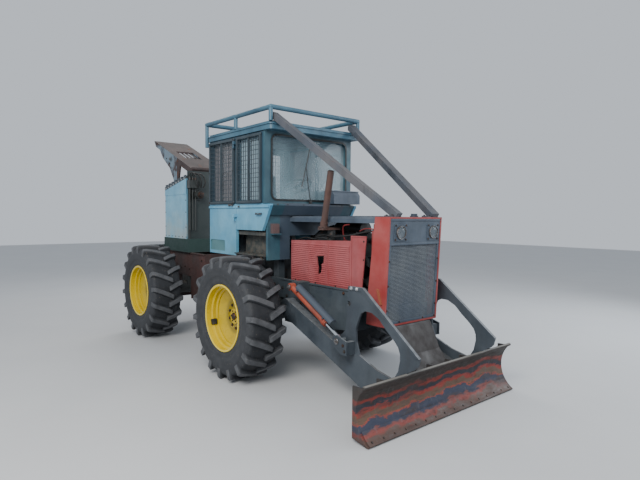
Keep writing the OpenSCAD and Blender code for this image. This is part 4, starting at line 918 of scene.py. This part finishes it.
def guard_bars(a0, a1, z0, z1, mesh, wire_out):
    """Across, outward and up limits of each bar of a guard from a0 to a1 and from z0 to z1."""
    middle, inset, half = (a0 + a1) / 2, 0.025, GUARD_WIRE / 2
    bars = [(a0, a0 + GUARD_EDGE, 0, GUARD_EDGE, z0, z1), (a1 - GUARD_EDGE, a1, 0, GUARD_EDGE, z0, z1),
            (a0, a1, 0, GUARD_EDGE, z0, z0 + GUARD_EDGE), (a0, a1, 0, GUARD_EDGE, z1 - GUARD_EDGE, z1),
            (middle - 0.011, middle + 0.011, 0.004, 0.026, z0 + 0.02, z1 - 0.02)]
    a0, a1, z0, z1 = a0 + inset, a1 - inset, z0 + inset, z1 - inset
    columns, rows = round((a1 - a0) / mesh[0]), round((z1 - z0) / mesh[1])
    for k in range(1, columns):
        a = a0 + (a1 - a0) * k / columns
        bars.append((a - half, a + half, wire_out, wire_out + GUARD_WIRE, z0, z1))
    for k in range(1, rows):
        z = z0 + (z1 - z0) * k / rows
        bars.append((a0, a1, wire_out + 0.0055, wire_out + 0.012, z - half, z + half))
    return bars


def side_guard(x0, x1, sign):
    places = []
    for xa, xb, ya, yb, za, zb in guard_bars(x0, x1, 2.110, 2.965, (0.047, 0.058), 0.009):
        ya, yb = sorted((sign * (CAB_SIDE + ya), sign * (CAB_SIDE + yb)))
        places.append(bar_between(at(xa, ya, za), at(xb, yb, zb)))
    return places


cab_guards = [bar_between(at(CAB_REAR - xb, ya, za), at(CAB_REAR - xa, yb, zb))
              for ya, yb, xa, xb, za, zb in guard_bars(-0.56, 0.56, 2.12, 2.94, (0.0486, 0.058), 0.011)]
for side, sign in SIDES:
    cab_guards += side_guard(-1.270, -0.580, sign)
    set_out(f"door_guard_{side}", BAR, side_guard(-0.522, 0.064, sign), "screen_paint",
            f"door_{side}_body", "screen_steel", [f"door_screen_{side}"])
set_out("cab_guards", BAR, cab_guards, "screen_paint", "front_body", "screen_steel", ["side_screens"])
print("guard bars", len(cab_guards))

# %% [markdown]
# ## Grille
# The radiator stands behind a frame with a woven wire mesh of 13 mm squares. Over it lies a
# closed field with two lamps on bolted plates. All of it leans back with the guard, so it is
# set out in the guard's own plane and then turned.

# %% Grille in the guard's plane
GUARD_TOP = at(1.900, 0, 1.948)
LEAN = math.atan2(0.055, 1.118)
LEAN_TURN = Matrix.Rotation(LEAN, 3, "Y")
LEAN_OUT = tuple(LEAN_TURN @ Vector((1, 0, 0)))


def on_guard(out, y, down):
    """A point of the leaning plane: how far it stands out, its Y and its height from the top."""
    return GUARD_TOP + LEAN_TURN @ Vector((out, y, down))


def leaning_bar(low, high):
    low, high = Vector(low), Vector(high)
    return (on_guard(*((low + high) / 2)), (0.0, LEAN, 0.0), tuple(high - low))


LAMPS = (-0.240, 0.280)
LAMP_DOWN = -0.160
HALF = 0.402
LOW, SPLIT, TOP = -1.0994, -0.290, -0.020
grille_bars = [leaning_bar(low, high) for low, high in (
    ((-0.030, -HALF, LOW), (-0.006, -HALF + 0.030, TOP)),
    ((-0.030, HALF - 0.030, LOW), (-0.006, HALF, TOP)),
    ((-0.030, -HALF, LOW), (-0.006, HALF, LOW + 0.030)),
    ((-0.028, -HALF, SPLIT), (-0.008, HALF, TOP)),
    ((-0.028, -HALF, SPLIT), (-0.002, HALF, SPLIT + 0.022)),
    ((-0.028, -HALF, TOP - 0.022), (-0.002, HALF, TOP)),
    *(((-0.008, y - 0.094, LAMP_DOWN - 0.088), (-0.002, y + 0.094, LAMP_DOWN + 0.088)) for y in LAMPS))]
set_out("grille_frame", BAR, grille_bars, "grille_paint", "front_body", "grille_paint", ["grille"])

WIRE = 0.0032
MESH = 0.0135
mesh_low, mesh_high, mesh_half = LOW + 0.028, SPLIT + 0.004, HALF - 0.028
columns, rows = round(2 * mesh_half / MESH), round((mesh_high - mesh_low) / MESH)
wires = []
for y in (-mesh_half + 2 * mesh_half * k / columns for k in range(1, columns)):
    wires.append(leaning_bar((-0.018, y - WIRE / 2, mesh_low), (-0.015, y + WIRE / 2, mesh_high)))
for z in (mesh_low + (mesh_high - mesh_low) * k / rows for k in range(1, rows)):
    wires.append(leaning_bar((-0.0155, -mesh_half, z - WIRE / 2), (-0.0125, mesh_half, z + WIRE / 2)))
plain_bar = box_shape((-0.5, -0.5, -0.5), (0.5, 0.5, 0.5), bevel=0.0001)
set_out("grille_mesh", plain_bar, wires, "wire_paint", "front_body", "grille_paint", ["grille"], 20)
print("grille bars and wires", len(grille_bars), len(wires))

# %% Lamps, and a dark sheet on the radiator as painted shade
CUP = [(0.070, 0.0), (0.070, 0.014), (0.066, 0.018), (0.061, 0.016), (0.060, 0.006), (0.040, 0.001),
       (0.012, 0.000)]
LENS = [(0.0605, 0.009), (0.052, 0.0130), (0.030, 0.0160), (0.006, 0.0168)]
for name, profile, finish, smooth in (("lamp_cups", CUP, "bare_steel", 32),
                                      ("lamp_lenses", LENS, "lamp_glass", 60)):
    shapes = [lathe_shape(profile, on_guard(-0.002, y, LAMP_DOWN), LEAN_OUT, sides=40) for y in LAMPS]
    piece(name, shapes, finish, "front_body", "grille_paint", ["grille"], smooth)
# Painted shade: a thin dark sheet low on the radiator's front hides the gap behind the grille
shade_sheet = box_shape(at(1.727, -0.401, 0.849), at(1.731, 0.401, 1.000), 0.001)
piece("radiator_air_seal", [shade_sheet], "hose_rubber", "front_body", "frame_paint")
print("lamps", len(LAMPS))

# %% [markdown]
# ## Bolts of the front, the blade and the rear
# The tables follow the photograph where it shows bolts: four on each lamp plate, two bright
# ones on the peak of each arm plate, a row along the tower's sloping edge. The others stand
# where such pieces are bolted.

# %% Front bolts
front_bolts = [(on_guard(-0.002, y + dy, LAMP_DOWN + dz), LEAN_OUT, 0.018)
               for y in LAMPS for dy in (-0.078, 0.078) for dz in (-0.072, 0.072)]
front_bolts += [(on_guard(-0.006, y, LOW + 0.015), LEAN_OUT, 0.018)
                for y in (-0.387, -0.19, 0.19, 0.387)]
front_bolts += [(on_guard(-0.006, y, z), LEAN_OUT, 0.018)
                for z in (-0.45, -0.70, -0.95) for y in (-0.387, 0.387)]
front_bolts += both(
    # Along the bonnet's side panels
    grid((0.42, 0.80, 1.15, 1.36, 1.44, 1.58), (0.461,), (1.181,), LEFT, 0.016)
    + grid((1.585,), (0.461,), (1.30, 1.50, 1.69), LEFT, 0.016)
    # On the frame's side plates
    + pairs(((-0.17, 1.05), (0.0, 1.08), (0.17, 1.05), (0.26, 0.96), (-0.26, 0.96), (0.55, 0.90),
             (1.42, 0.86), (1.42, 1.08), (1.30, 1.12)), 0.475, 0.030)
    # Window guards, the risers' feet, the roof rail's feet
    + grid((-1.255, -0.595), (0.745,), (2.125, 2.54, 2.95), LEFT, 0.014)
    + grid((1.79, 1.87), (0.252, 0.348), (1.962,), UP, 0.022)
    + grid((-1.290, -0.515, 0.269), (0.682, 0.718), (3.085,), UP, 0.012)
    # Round the arm's pivot, and along the cowl
    + [(point, LEFT, 0.020) for point in circle(at(0.420, 0.489, 0.850), 0.070, 4, 0.5)]
    + grid((0.2405,), (0.20, 0.45, 0.60), (2.089,), FORWARD, 0.013))
front_bolts += grid([0.42 + 0.14 * k for k in range(7)], (-0.12, 0.12), (1.654,), UP, 0.014)
front_bolts += grid((0.815, 0.885), (-0.425, -0.345), (1.818,), UP, 0.020)
set_bolts("front_bolts", front_bolts, "dark_bolt", "front_body", "frame_paint")
print("front bolts", len(front_bolts))

# %% Blade and arm bolts
# The hollow face is round about an axis before the blade, and the bolts stand low on it
FACE_X, FACE_Z, FACE_RADIUS = 2.526, 0.276, 0.298
EDGE_ANGLE = math.radians(233)
edge_x = FACE_X + FACE_RADIUS * math.cos(EDGE_ANGLE)
edge_z = FACE_Z + FACE_RADIUS * math.sin(EDGE_ANGLE)
blade_bolts = both(grid((edge_x,), [0.08 + 0.145 * k for k in range(8)], (edge_z,),
                        (-math.cos(EDGE_ANGLE), 0, -math.sin(EDGE_ANGLE)), 0.018))
set_bolts("blade_bolts", blade_bolts, "dark_bolt", "blade_body", "blade_paint")
set_bolts("arm_peak_bolts", both(pairs(((1.586, 1.222), (1.666, 1.222)), 0.635, 0.030)), "zinc",
          "blade_body", "frame_paint")
set_bolts("arm_eye_bolts", both(pairs(((1.60, 0.655), (1.62, 0.600)), 0.754, 0.026)), "dark_bolt",
          "blade_body", "frame_paint")
plugs = [lathe_shape([(0.0255, 0.0), (0.0255, 0.006), (0.018, 0.009), (0.006, 0.009)],
                     at(1.544, sign * 0.604, 1.060), (0, sign, 0), sides=28) for _, sign in SIDES]
piece("arm_hole_plugs", plugs, "hose_rubber", "blade_body", "frame_paint")
print("blade bolts", len(blade_bolts))

# %% Rear bolts
edge_xs = [-3.385 + 0.108 * k for k in range(8)]
edge_bolts = both(pairs([(x, 2.405 + 0.175 * (x + 3.44) / 0.88) for x in edge_xs], 0.500, 0.024))
set_bolts("tower_edge_bolts", edge_bolts, "zinc", "rear_body", "tower_paint")
rear_bolts = both(
    # The tower's foot and its upright edges
    grid([-3.42 + 0.14 * k for k in range(7)], (0.494,), (1.585,), LEFT, 0.016)
    + grid((-3.42, -2.585), (0.494,), (1.75, 2.0, 2.2), LEFT, 0.016)
    # The frame's sides and the butt plate
    + pairs(((-2.89, 1.05), (-2.72, 1.08), (-2.55, 1.05), (-2.10, 1.22), (-2.10, 0.70), (-3.40, 1.20),
             (-3.40, 0.75)), 0.450, 0.030)
    + grid((-3.570,), (0.42, 0.14), (0.62, 0.95, 1.28), BACK, 0.028)
    # The arch's side plates
    + pairs(((-2.78, 1.60), (-2.95, 1.60), (-3.2, 1.60), (-3.40, 1.60), (-3.60, 2.90), (-3.75, 3.00)),
            0.335, 0.024))
set_bolts("rear_bolts", rear_bolts, "dark_bolt", "rear_body", "rust_steel")
print("rear bolts", len(rear_bolts))

# %% [markdown]
# ## Pins
# Every pin that joins two moving parts ends in a keeper plate with a grease nipple. The plates
# are short turned discs over the pin's end.

# %% Pin caps
def pin_cap(point, direction, radius):
    profile = [(radius, 0.0), (radius, 0.006), (radius - 0.003, 0.009), (0.010, 0.009), (0.009, 0.013),
               (0.005, 0.014), (0.005, 0.022), (0.002, 0.024)]
    return lathe_shape(profile, point, direction, sides=24)


hinge_cap = [pin_cap(at(-1.364, 0, 1.140), UP, 0.052)]
# Name, body, slot, the caps on each side (X, Y, Z, radius) and those in the middle
for name, body, slot, caps, more in (
        ("front_pin_caps", "front_body", "frame_paint",
         ((0.420, 0.637, 0.850, 0.046), (0.640, 0.725, 1.135, 0.031)), hinge_cap),
        ("arm_pin_caps", "blade_body", "frame_paint", ((1.500, 0.754, 0.680, 0.033),), []),
        ("rear_pin_caps", "rear_body", "arch_rust", ((-3.560, 0.349, 2.975, 0.030),), [])):
    shapes = [pin_cap(at(x, sign * y, z), (0, sign, 0), radius)
              for _, sign in SIDES for x, y, z, radius in caps]
    piece(name, shapes + more, "bare_steel", body, slot)
    print(name, len(shapes + more))

# %% [markdown]
# ## Engine bay
# Above the louvres the bay is open. Hoses run from the engine to the radiator, fuel pipes run
# from the pump to each cylinder, and a belt drives the fan. They are tubes along curves through
# a few knots.

# %% Hoses and pipes of the engine
# Radius, sides and knots
HOSES = (
    (0.027, 14, ((1.27, 0.02, 1.66), (1.36, 0.03, 1.71), (1.48, 0.05, 1.79), (1.60, 0.06, 1.80),
                 (1.63, 0.06, 1.80))),
    (0.025, 14, ((1.33, -0.14, 1.05), (1.42, -0.16, 1.02), (1.52, -0.18, 0.99), (1.63, -0.20, 0.98))),
    (0.030, 14, ((0.40, 0.23, 1.79), (0.34, 0.20, 1.80), (0.28, 0.12, 1.77), (0.24, 0.05, 1.72),
                 (0.20, 0.02, 1.62))),
    (0.012, 10, ((0.62, -0.30, 1.70), (0.80, -0.33, 1.73), (1.00, -0.34, 1.72), (1.24, -0.33, 1.74),
                 (1.44, -0.30, 1.78), (1.60, -0.28, 1.80))),
    (0.010, 10, ((0.33, -0.34, 1.66), (0.48, -0.36, 1.69), (0.66, -0.37, 1.68), (0.79, -0.38, 1.70),
                 (0.90, -0.36, 1.69))),
)
hoses = [hose_shape(knots, radius, sides) for radius, sides, knots in HOSES]
piece("engine_hoses", hoses, "hose_rubber", "front_body", "engine_iron", smooth=60)

CYLINDER_PITCH = 0.1517
pipes = []
for k in range(6):
    x = 0.456 + CYLINDER_PITCH * k
    pipes.append(hose_shape(((0.60 + 0.03 * k, 0.19, 1.47), (x - 0.02, 0.20, 1.56), (x, 0.16, 1.68),
                             (x, 0.125, 1.72), (x, 0.08, 1.765)), 0.0035, 8, 5))
clamps = [lathe_shape([(radius, -0.006), (radius + 0.002, -0.006), (radius + 0.002, 0.006),
                       (radius, 0.006)], at(*place), Vector(direction).normalized(), sides=24)
          for place, direction, radius in (((1.30, 0.024, 1.675), (0.7, 0.1, 0.6), 0.030),
                                           ((1.605, 0.06, 1.80), (1, 0, 0), 0.030),
                                           ((0.385, 0.222, 1.792), (1, 0.5, -0.1), 0.033))]
piece("fuel_pipes", pipes + clamps, "bare_steel", "front_body", "engine_iron", smooth=60)
print("hoses", len(hoses), "fuel pipes", len(pipes))

# %% Red caps
red_bits = [
    lathe_shape([(0.024, 0.0), (0.026, 0.004), (0.026, 0.020), (0.018, 0.028), (0.004, 0.028)],
                at(1.07, -0.25, 1.655), UP, sides=20),
    hose_shape(((1.07, -0.25, 1.67), (1.06, -0.27, 1.76), (1.10, -0.30, 1.84),
                (1.20, -0.31, 1.86)), 0.008),
    hose_shape(((1.36, -0.30, 1.79), (1.44, -0.31, 1.815), (1.52, -0.31, 1.82),
                (1.60, -0.30, 1.81)), 0.007),
]
piece("red_engine_parts", red_bits, "red_plastic", "front_body", "engine_iron", smooth=50)
print("red parts", len(red_bits))


# %% Fan belt
def belt_shape(circles, x0, x1, thick=0.006):
    """A belt round two pulleys of equal sense, each given by its Y, Z and radius."""
    (ya, za, ra), (yb, zb, rb) = circles
    heading = math.atan2(zb - za, yb - ya)
    lift = math.acos((ra - rb) / math.hypot(yb - ya, zb - za))
    inner, outer = [], []
    for (y, z, r), first, last in ((circles[0], heading + lift, heading + 2 * math.pi - lift),
                                   (circles[1], heading - lift, heading + lift)):
        for k in range(13):
            turn = first + (last - first) * k / 12
            for loop, radius in ((inner, r), (outer, r + thick)):
                loop.append((y + radius * math.cos(turn), z + radius * math.sin(turn)))
    count = len(inner)
    points = [at(x, y, z) for x in (x0, x1) for loop in (inner, outer) for y, z in loop]
    faces = []
    for k in range(count):
        after = (k + 1) % count
        faces.append([k, after, count + after, count + k])
        faces.append([2 * count + k, 3 * count + k, 3 * count + after, 2 * count + after])
        faces.append([count + k, count + after, 3 * count + after, 3 * count + k])
        faces.append([k, 2 * count + k, 2 * count + after, after])
    return points, faces


belt = belt_shape([(0.0, 1.330, 0.1105), (0.0, 0.985, 0.080)], 1.366, 1.382)
pulley = lathe_shape([(0.030, -0.02), (0.030, -0.004), (0.082, -0.003), (0.079, 0.009), (0.082, 0.021),
                      (0.030, 0.022), (0.020, 0.030)], at(1.365, 0, 0.985), FORWARD, sides=36)
stub = tube_shape([at(1.31, 0, 0.985), at(1.35, 0, 0.985)], 0.028, 16)
piece("fan_belt", [belt], "hose_rubber", "front_body", "engine_iron", smooth=40)
piece("crank_pulley", [pulley, stub], "engine_iron", "front_body", "engine_iron")
print("belt points", len(belt[0]))

# %% [markdown]
# ## Tower plumbing
# Before the tower stands the winch's valve. Light grey pipes run down from it, and short hoses
# bend from the pipes to the valve's ports. They are fixed at both ends on the tower.

# %% Hoses of the winch valve
VALVE_PIPES = (-0.460, -0.410, -0.360)
tower_hoses = [hose_shape((
    (-2.505, y, 2.585), (-2.50, y - 0.005, 2.63), (-2.47, y + 0.03 + 0.02 * k, 2.655 - 0.01 * k),
    (-2.43, y + 0.07 + 0.02 * k, 2.60), (-2.42, y + 0.10 + 0.02 * k, 2.50), (-2.45, y + 0.12, 2.41)),
    0.011) for k, y in enumerate(VALVE_PIPES)]
piece("valve_hoses", tower_hoses, "hose_rubber", "rear_body", "tower_paint", smooth=60)
fittings = [lathe_shape([(0.017, 0.0), (0.017, 0.022), (0.013, 0.026), (0.013, 0.040)],
                        at(-2.505, y, 2.545), UP, sides=6) for y in VALVE_PIPES]
fittings.append(lathe_shape([(0.055, 0.0), (0.058, 0.006), (0.040, 0.010), (0.036, 0.022),
                             (0.010, 0.024)], at(-2.390, -0.320, 2.290), FORWARD, sides=28))
piece("valve_fittings", fittings, "dark_bolt", "rear_body", "tower_paint")
print("valve hoses", len(tower_hoses))

# %% [markdown]
# ## Winch rope
# The drum is full of steel rope. Each turn is a ring with the pitch of the rope, and a twisted
# bump shows its strands. The rings cover the plain ones of the solid.

# %% Rope on the drum
rope = Finish("wire_rope", (92, 86, 80), 0.55, 0.7)
twist = rope.weave(42.0, 1.5)
rope.over((48, 42, 38), twist, 0.3, 0.7, 0.7)
rope.speckle(RUST, 14.0, 0.5, 0.65, 0.7)
rope.bump(twist, 0.6, 0.002)

ROPE_PITCH = 0.019
ROPE_RADIUS = 0.0099
COIL_RADIUS = 0.118
DRUM_HALF = 0.304 - 0.020
turns = math.floor(2 * DRUM_HALF / ROPE_PITCH)
section = [(COIL_RADIUS + ROPE_RADIUS * math.cos(math.radians(45 * k)),
            ROPE_RADIUS * math.sin(math.radians(45 * k))) for k in range(8)]
ring = lathe_shape(section, (0, 0, 0), LEFT, sides=56, closed=True)
drum_middle = at(-3.070, 0, 1.950)
rope_places = [(drum_middle + Vector((0, (k - (turns - 1) / 2) * ROPE_PITCH, 0)), (0.0, 0.35 * k, 0.0),
                (1.0, 1.0, 1.0)) for k in range(turns)]
set_out("winch_rope", ring, rope_places, "wire_rope", "drum", "drum_steel", smooth=70)
print("rope turns", turns)

# %% Bars under the opening of the arch's head
HEAD_FRONT = at(-2.730, 0, 2.755)
HEAD_SLOPE = math.atan2(3.390 - 2.755, 1.600)
head_turn = Matrix.Rotation(HEAD_SLOPE, 3, "Y")
head_bars = [(HEAD_FRONT + head_turn @ Vector((-0.840, y, -0.0295)), (0.0, HEAD_SLOPE, 0.0),
              (0.520, 0.056, 0.008)) for y in (-0.130, -0.043, 0.043, 0.130)]
set_out("arch_head_bars", BAR, head_bars, "arch_rust", "rear_body", "arch_rust")
print("head slope", round(math.degrees(HEAD_SLOPE), 1))

# %% [markdown]
# ## Cab fittings
# Outside there are the wiper and the latches of the doors and guards. Inside, behind the dusty
# glass, stand levers with round knobs beside the dash, four dials and three pedals.

# %% Wiper and latches
wiper_low, wiper_high = at(0.141, -0.160, 2.323), at(0.141, -0.024, 2.848)
wiper = [
    hose_shape(((0.150, -0.020, 2.120), (0.150, -0.040, 2.240), (0.148, -0.070, 2.420),
                (0.146, -0.085, 2.560)), 0.006, 8),
    box_shape(at(0.128, -0.035, 2.105), at(0.160, 0.000, 2.150), 0.004),
    tube_shape([wiper_low, (wiper_low + wiper_high) / 2 + Vector((0.004, 0, 0)), wiper_high], 0.007, 6),
]
piece("wiper", wiper, "console_plastic", "front_body", "console_plastic")


def side_boxes(rows, sign):
    """Boxes on a side of the cab, by their limits along X, outward and up."""
    shapes = []
    for x0, x1, out0, out1, z0, z1 in rows:
        ya, yb = sorted((sign * (CAB_SIDE + out0), sign * (CAB_SIDE + out1)))
        shapes.append(box_shape(at(x0, ya, z0), at(x1, yb, z1)))
    return shapes


HANDLE = ((-0.035, 0.055, 0.022, 0.036, 1.966, 1.980), (-0.045, -0.030, 0.0, 0.034, 1.960, 1.986),
          (0.050, 0.065, 0.0, 0.034, 1.960, 1.986), (-0.48, -0.44, 0.016, 0.026, 2.056, 2.076))
LATCH = ((-0.724, -0.640, 0.016, 0.034, 2.083, 2.101), (-0.655, -0.600, 0.016, 0.040, 2.078, 2.094),
         (-0.720, -0.700, 0.014, 0.030, 2.070, 2.100))
for side, sign in SIDES:
    piece(f"door_handle_{side}", side_boxes(HANDLE, sign), "bare_steel", f"door_{side}_body",
          "door_paint")
    piece(f"guard_latch_{side}", side_boxes(LATCH, sign), "bare_steel", "front_body", "screen_steel")
print("handle boxes", len(HANDLE), "latch boxes", len(LATCH))

# %% Levers, dials and pedals
# X and Y of the foot, height and how far the head leans back
LEVERS = ((-0.02, -0.42, 0.36, 0.05), (-0.02, -0.47, 0.34, 0.03), (-0.02, 0.40, 0.38, 0.04),
          (-0.60, -0.34, 0.46, 0.08), (-0.68, -0.34, 0.42, 0.06))
KNOB = [(0.008, -0.014), (0.020, -0.006), (0.024, 0.008), (0.018, 0.022), (0.004, 0.028)]
stalks, knobs = [], []
for x, y, height, tilt in LEVERS:
    foot = at(x, y, 1.745)
    head = foot + Vector((-tilt, 0, height))
    stalks.append(tube_shape([foot, (foot + head) / 2 + Vector((0.01, 0, 0)), head], 0.007, 8))
    stalks.append(lathe_shape([(0.032, 0.0), (0.030, 0.02), (0.012, 0.05)], foot, UP, sides=16))
    knobs.append(lathe_shape(KNOB, head, UP, sides=16))
for y in (-0.20, 0.18, 0.26):
    stalks.append(tube_shape([at(0.05, y, 1.80), at(-0.02, y, 1.86), at(-0.10, y, 1.84)], 0.009, 8))
    stalks.append(box_shape(at(-0.125, y - 0.03, 1.80), at(-0.113, y + 0.03, 1.88), 0.004))
piece("cab_levers", stalks, "dark_bolt", "front_body", "console_plastic")
piece("lever_knobs", knobs, "red_plastic", "front_body", "console_plastic", smooth=60)

DASH_FACE = (-0.618, 0, 0.786)
dials = [lathe_shape([(0.036, 0.0), (0.036, 0.008), (0.030, 0.010), (0.029, 0.006), (0.004, 0.006)],
                     at(-0.025, y, 2.0978), DASH_FACE, sides=24) for y in (-0.22, -0.13, 0.13, 0.22)]
piece("dash_dials", dials, "bare_steel", "front_body", "console_plastic")
print("levers", len(knobs), "dials", len(dials))

# %% [markdown]
# ## Seat
# The seat is a cushion and a back of worn black cloth on a folded suspension foot. A pad swells
# between its edges, so each one is a closed box, remeshed finely and blown up as cloth with
# pressure and no gravity. A piping runs round its widest line.

# %% Padding
PAD_CELL = 0.011
PAD_INSET = 0.010
PAD_MOST = 0.020
PRESSURE = 4.0
STIFFNESS = 12.0
CLOTH_FRAMES = 20


def evaluated(thing):
    """A new mesh of the object with its modifiers applied."""
    graph = bpy.context.evaluated_depsgraph_get()
    return bpy.data.meshes.new_from_object(thing.evaluated_get(graph), depsgraph=graph)


def blow_up(pad):
    """Lets the cloth settle under pressure, no point farther from its start than PAD_MOST."""
    rest = [vert.co.copy() for vert in pad.data.vertices]
    modifier = pad.modifiers.new("Cloth", "CLOTH")
    modifier.settings.use_pressure = True
    modifier.settings.uniform_pressure_force = PRESSURE
    modifier.settings.tension_stiffness = STIFFNESS
    modifier.settings.effector_weights.gravity = 0.0
    for number in range(1, CLOTH_FRAMES + 1):
        bpy.context.scene.frame_set(number)
    fine, pad_mesh = pad.data, evaluated(pad)
    pad.modifiers.remove(modifier)
    pad.data = pad_mesh
    bpy.data.meshes.remove(fine)
    bpy.context.scene.frame_set(1)
    for vert, before in zip(pad_mesh.vertices, rest):
        move = vert.co - before
        if move.length > PAD_MOST:
            vert.co = before + move * (PAD_MOST / move.length)


def blown_pad(name, half, turn, middle):
    """A pad of the given half size, blown up, turned and moved to its middle."""
    high = Vector(half)
    low = -high
    inset = Vector((PAD_INSET, PAD_INSET, PAD_INSET))
    points, faces = box_shape(low + inset, high - inset, bevel=0.022)
    mesh = bpy.data.meshes.new(name)
    mesh.from_pydata(points, [], faces)
    pad = new_object(name, mesh)
    remesh = pad.modifiers.new("Remesh", "REMESH")
    remesh.mode = "VOXEL"
    remesh.voxel_size = PAD_CELL
    fine = evaluated(pad)
    pad.modifiers.remove(remesh)
    pad.data = fine
    bpy.data.meshes.remove(mesh)
    blow_up(pad)
    pad.data.transform(Matrix.Translation(middle) @ turn.to_4x4())
    pad.data.materials.append(FINISHES["seat_cloth"].material)
    pad.data.shade_smooth()
    return pad


print("padding: cells of", PAD_CELL, "m, cloth frames", CLOTH_FRAMES)

# %% The two pads
level = Matrix.Identity(3)
leaning = Matrix.Rotation(math.radians(-8), 3, "Y")
cushion_middle = at(-0.720, 0, 2.016)
back_middle = at(-0.900, 0, 2.070) + leaning @ Vector((-0.055, 0, 0.260))
cushion = blown_pad("seat_cushion", (0.235, 0.235, 0.052), level, cushion_middle)
back = blown_pad("seat_back", (0.052, 0.225, 0.250), leaning, back_middle)
for pad in (cushion, back):
    seat_on(pad, "front_body", "seat_cloth", ["seat"])
print("pad points", len(cushion.data.vertices), len(back.data.vertices))


# %% Piping and the seat's foot
def rounded_loop(half_a, half_b, corner=0.035, steps=6):
    loop = []
    for ca, cb, first in ((1, 1, 0), (-1, 1, 90), (-1, -1, 180), (1, -1, 270)):
        for k in range(steps + 1):
            turn = math.radians(first + 90 * k / steps)
            loop.append((ca * (half_a - corner) + corner * math.cos(turn),
                         cb * (half_b - corner) + corner * math.sin(turn)))
    return loop + loop[:1]


PIPING = 0.0045
loops = ([at(-0.720 + a, b, 2.016) for a, b in rounded_loop(0.230, 0.230)],
         [back_middle + leaning @ Vector((0, b, a)) for a, b in rounded_loop(0.245, 0.220)])
piping = [tube_shape(loop, PIPING, 8) for loop in loops]
piece("seat_piping", piping, "hose_rubber", "front_body", "seat_cloth", ["seat"], 70)
folds = [(0.125 - 0.018 * (k % 2), 0.022 + 0.020 * k) for k in range(9)]
foot = lathe_shape([(0.150, 0.0), (0.150, 0.012), *folds, (0.155, 0.196), (0.155, 0.2195),
                    (0.02, 0.2195)], at(-0.745, 0, 1.7402), UP, sides=40)
pan = box_shape(at(-0.93, -0.15, 1.945), at(-0.52, 0.15, 1.962), 0.004)
piece("seat_foot", [foot, pan], "console_plastic", "front_body", "seat_cloth", ["seat"], 50)
print("seat foot folds", len(folds))

# %% [markdown]
# ## Floor, light and size
# The machine stands on a plain pale floor in soft light: a large lamp high at the front right,
# a weaker one from the left and one from behind that draws the edges of the roof and the blade.

# %% Floor and lights
FLOOR_HALF = 30
floor_mesh = bpy.data.meshes.new("floor")
corners = [(a * FLOOR_HALF, b * FLOOR_HALF, 0) for a, b in ((-1, -1), (1, -1), (1, 1), (-1, 1))]
floor_mesh.from_pydata(corners, [], [(0, 1, 2, 3)])
pale = Finish("pale_floor", (188, 190, 192), 0.8)
pale.speckle((180, 182, 186), 0.8, 0.4, 0.6, 0.3)
floor_mesh.materials.append(pale.material)
new_object("floor", floor_mesh)

world = bpy.data.worlds.new("studio")
bpy.context.scene.world = world
world.use_nodes = True
sky = world.node_tree.nodes["Background"]
sky.inputs["Color"].default_value = (0.83, 0.89, 0.97, 1.0)
sky.inputs["Strength"].default_value = 0.75

# Name, place, the point it shines at, width, power and colour
LIGHTS = (
    ("key_light", (5.5, -6.5, 6.5), (0.6, 0, 1.2), 5.0, 900, (1.0, 0.97, 0.92)),
    ("fill_light", (4.5, 6.5, 4.0), (0.5, 0, 1.2), 6.0, 320, (0.88, 0.94, 1.0)),
    ("rim_light", (-6.5, 2.5, 7.0), (0, 0, 1.8), 4.5, 260, (1.0, 0.97, 0.93)),
)
for name, place, target, width, power, colour in LIGHTS:
    glow = bpy.data.lights.new(name, "AREA")
    glow.shape = "RECTANGLE"
    glow.size, glow.size_y = width, width * 0.7
    glow.energy, glow.color = power, colour
    aim(new_object(name, glow), place, Vector(target) - Vector(place))
print("lights", len(LIGHTS))
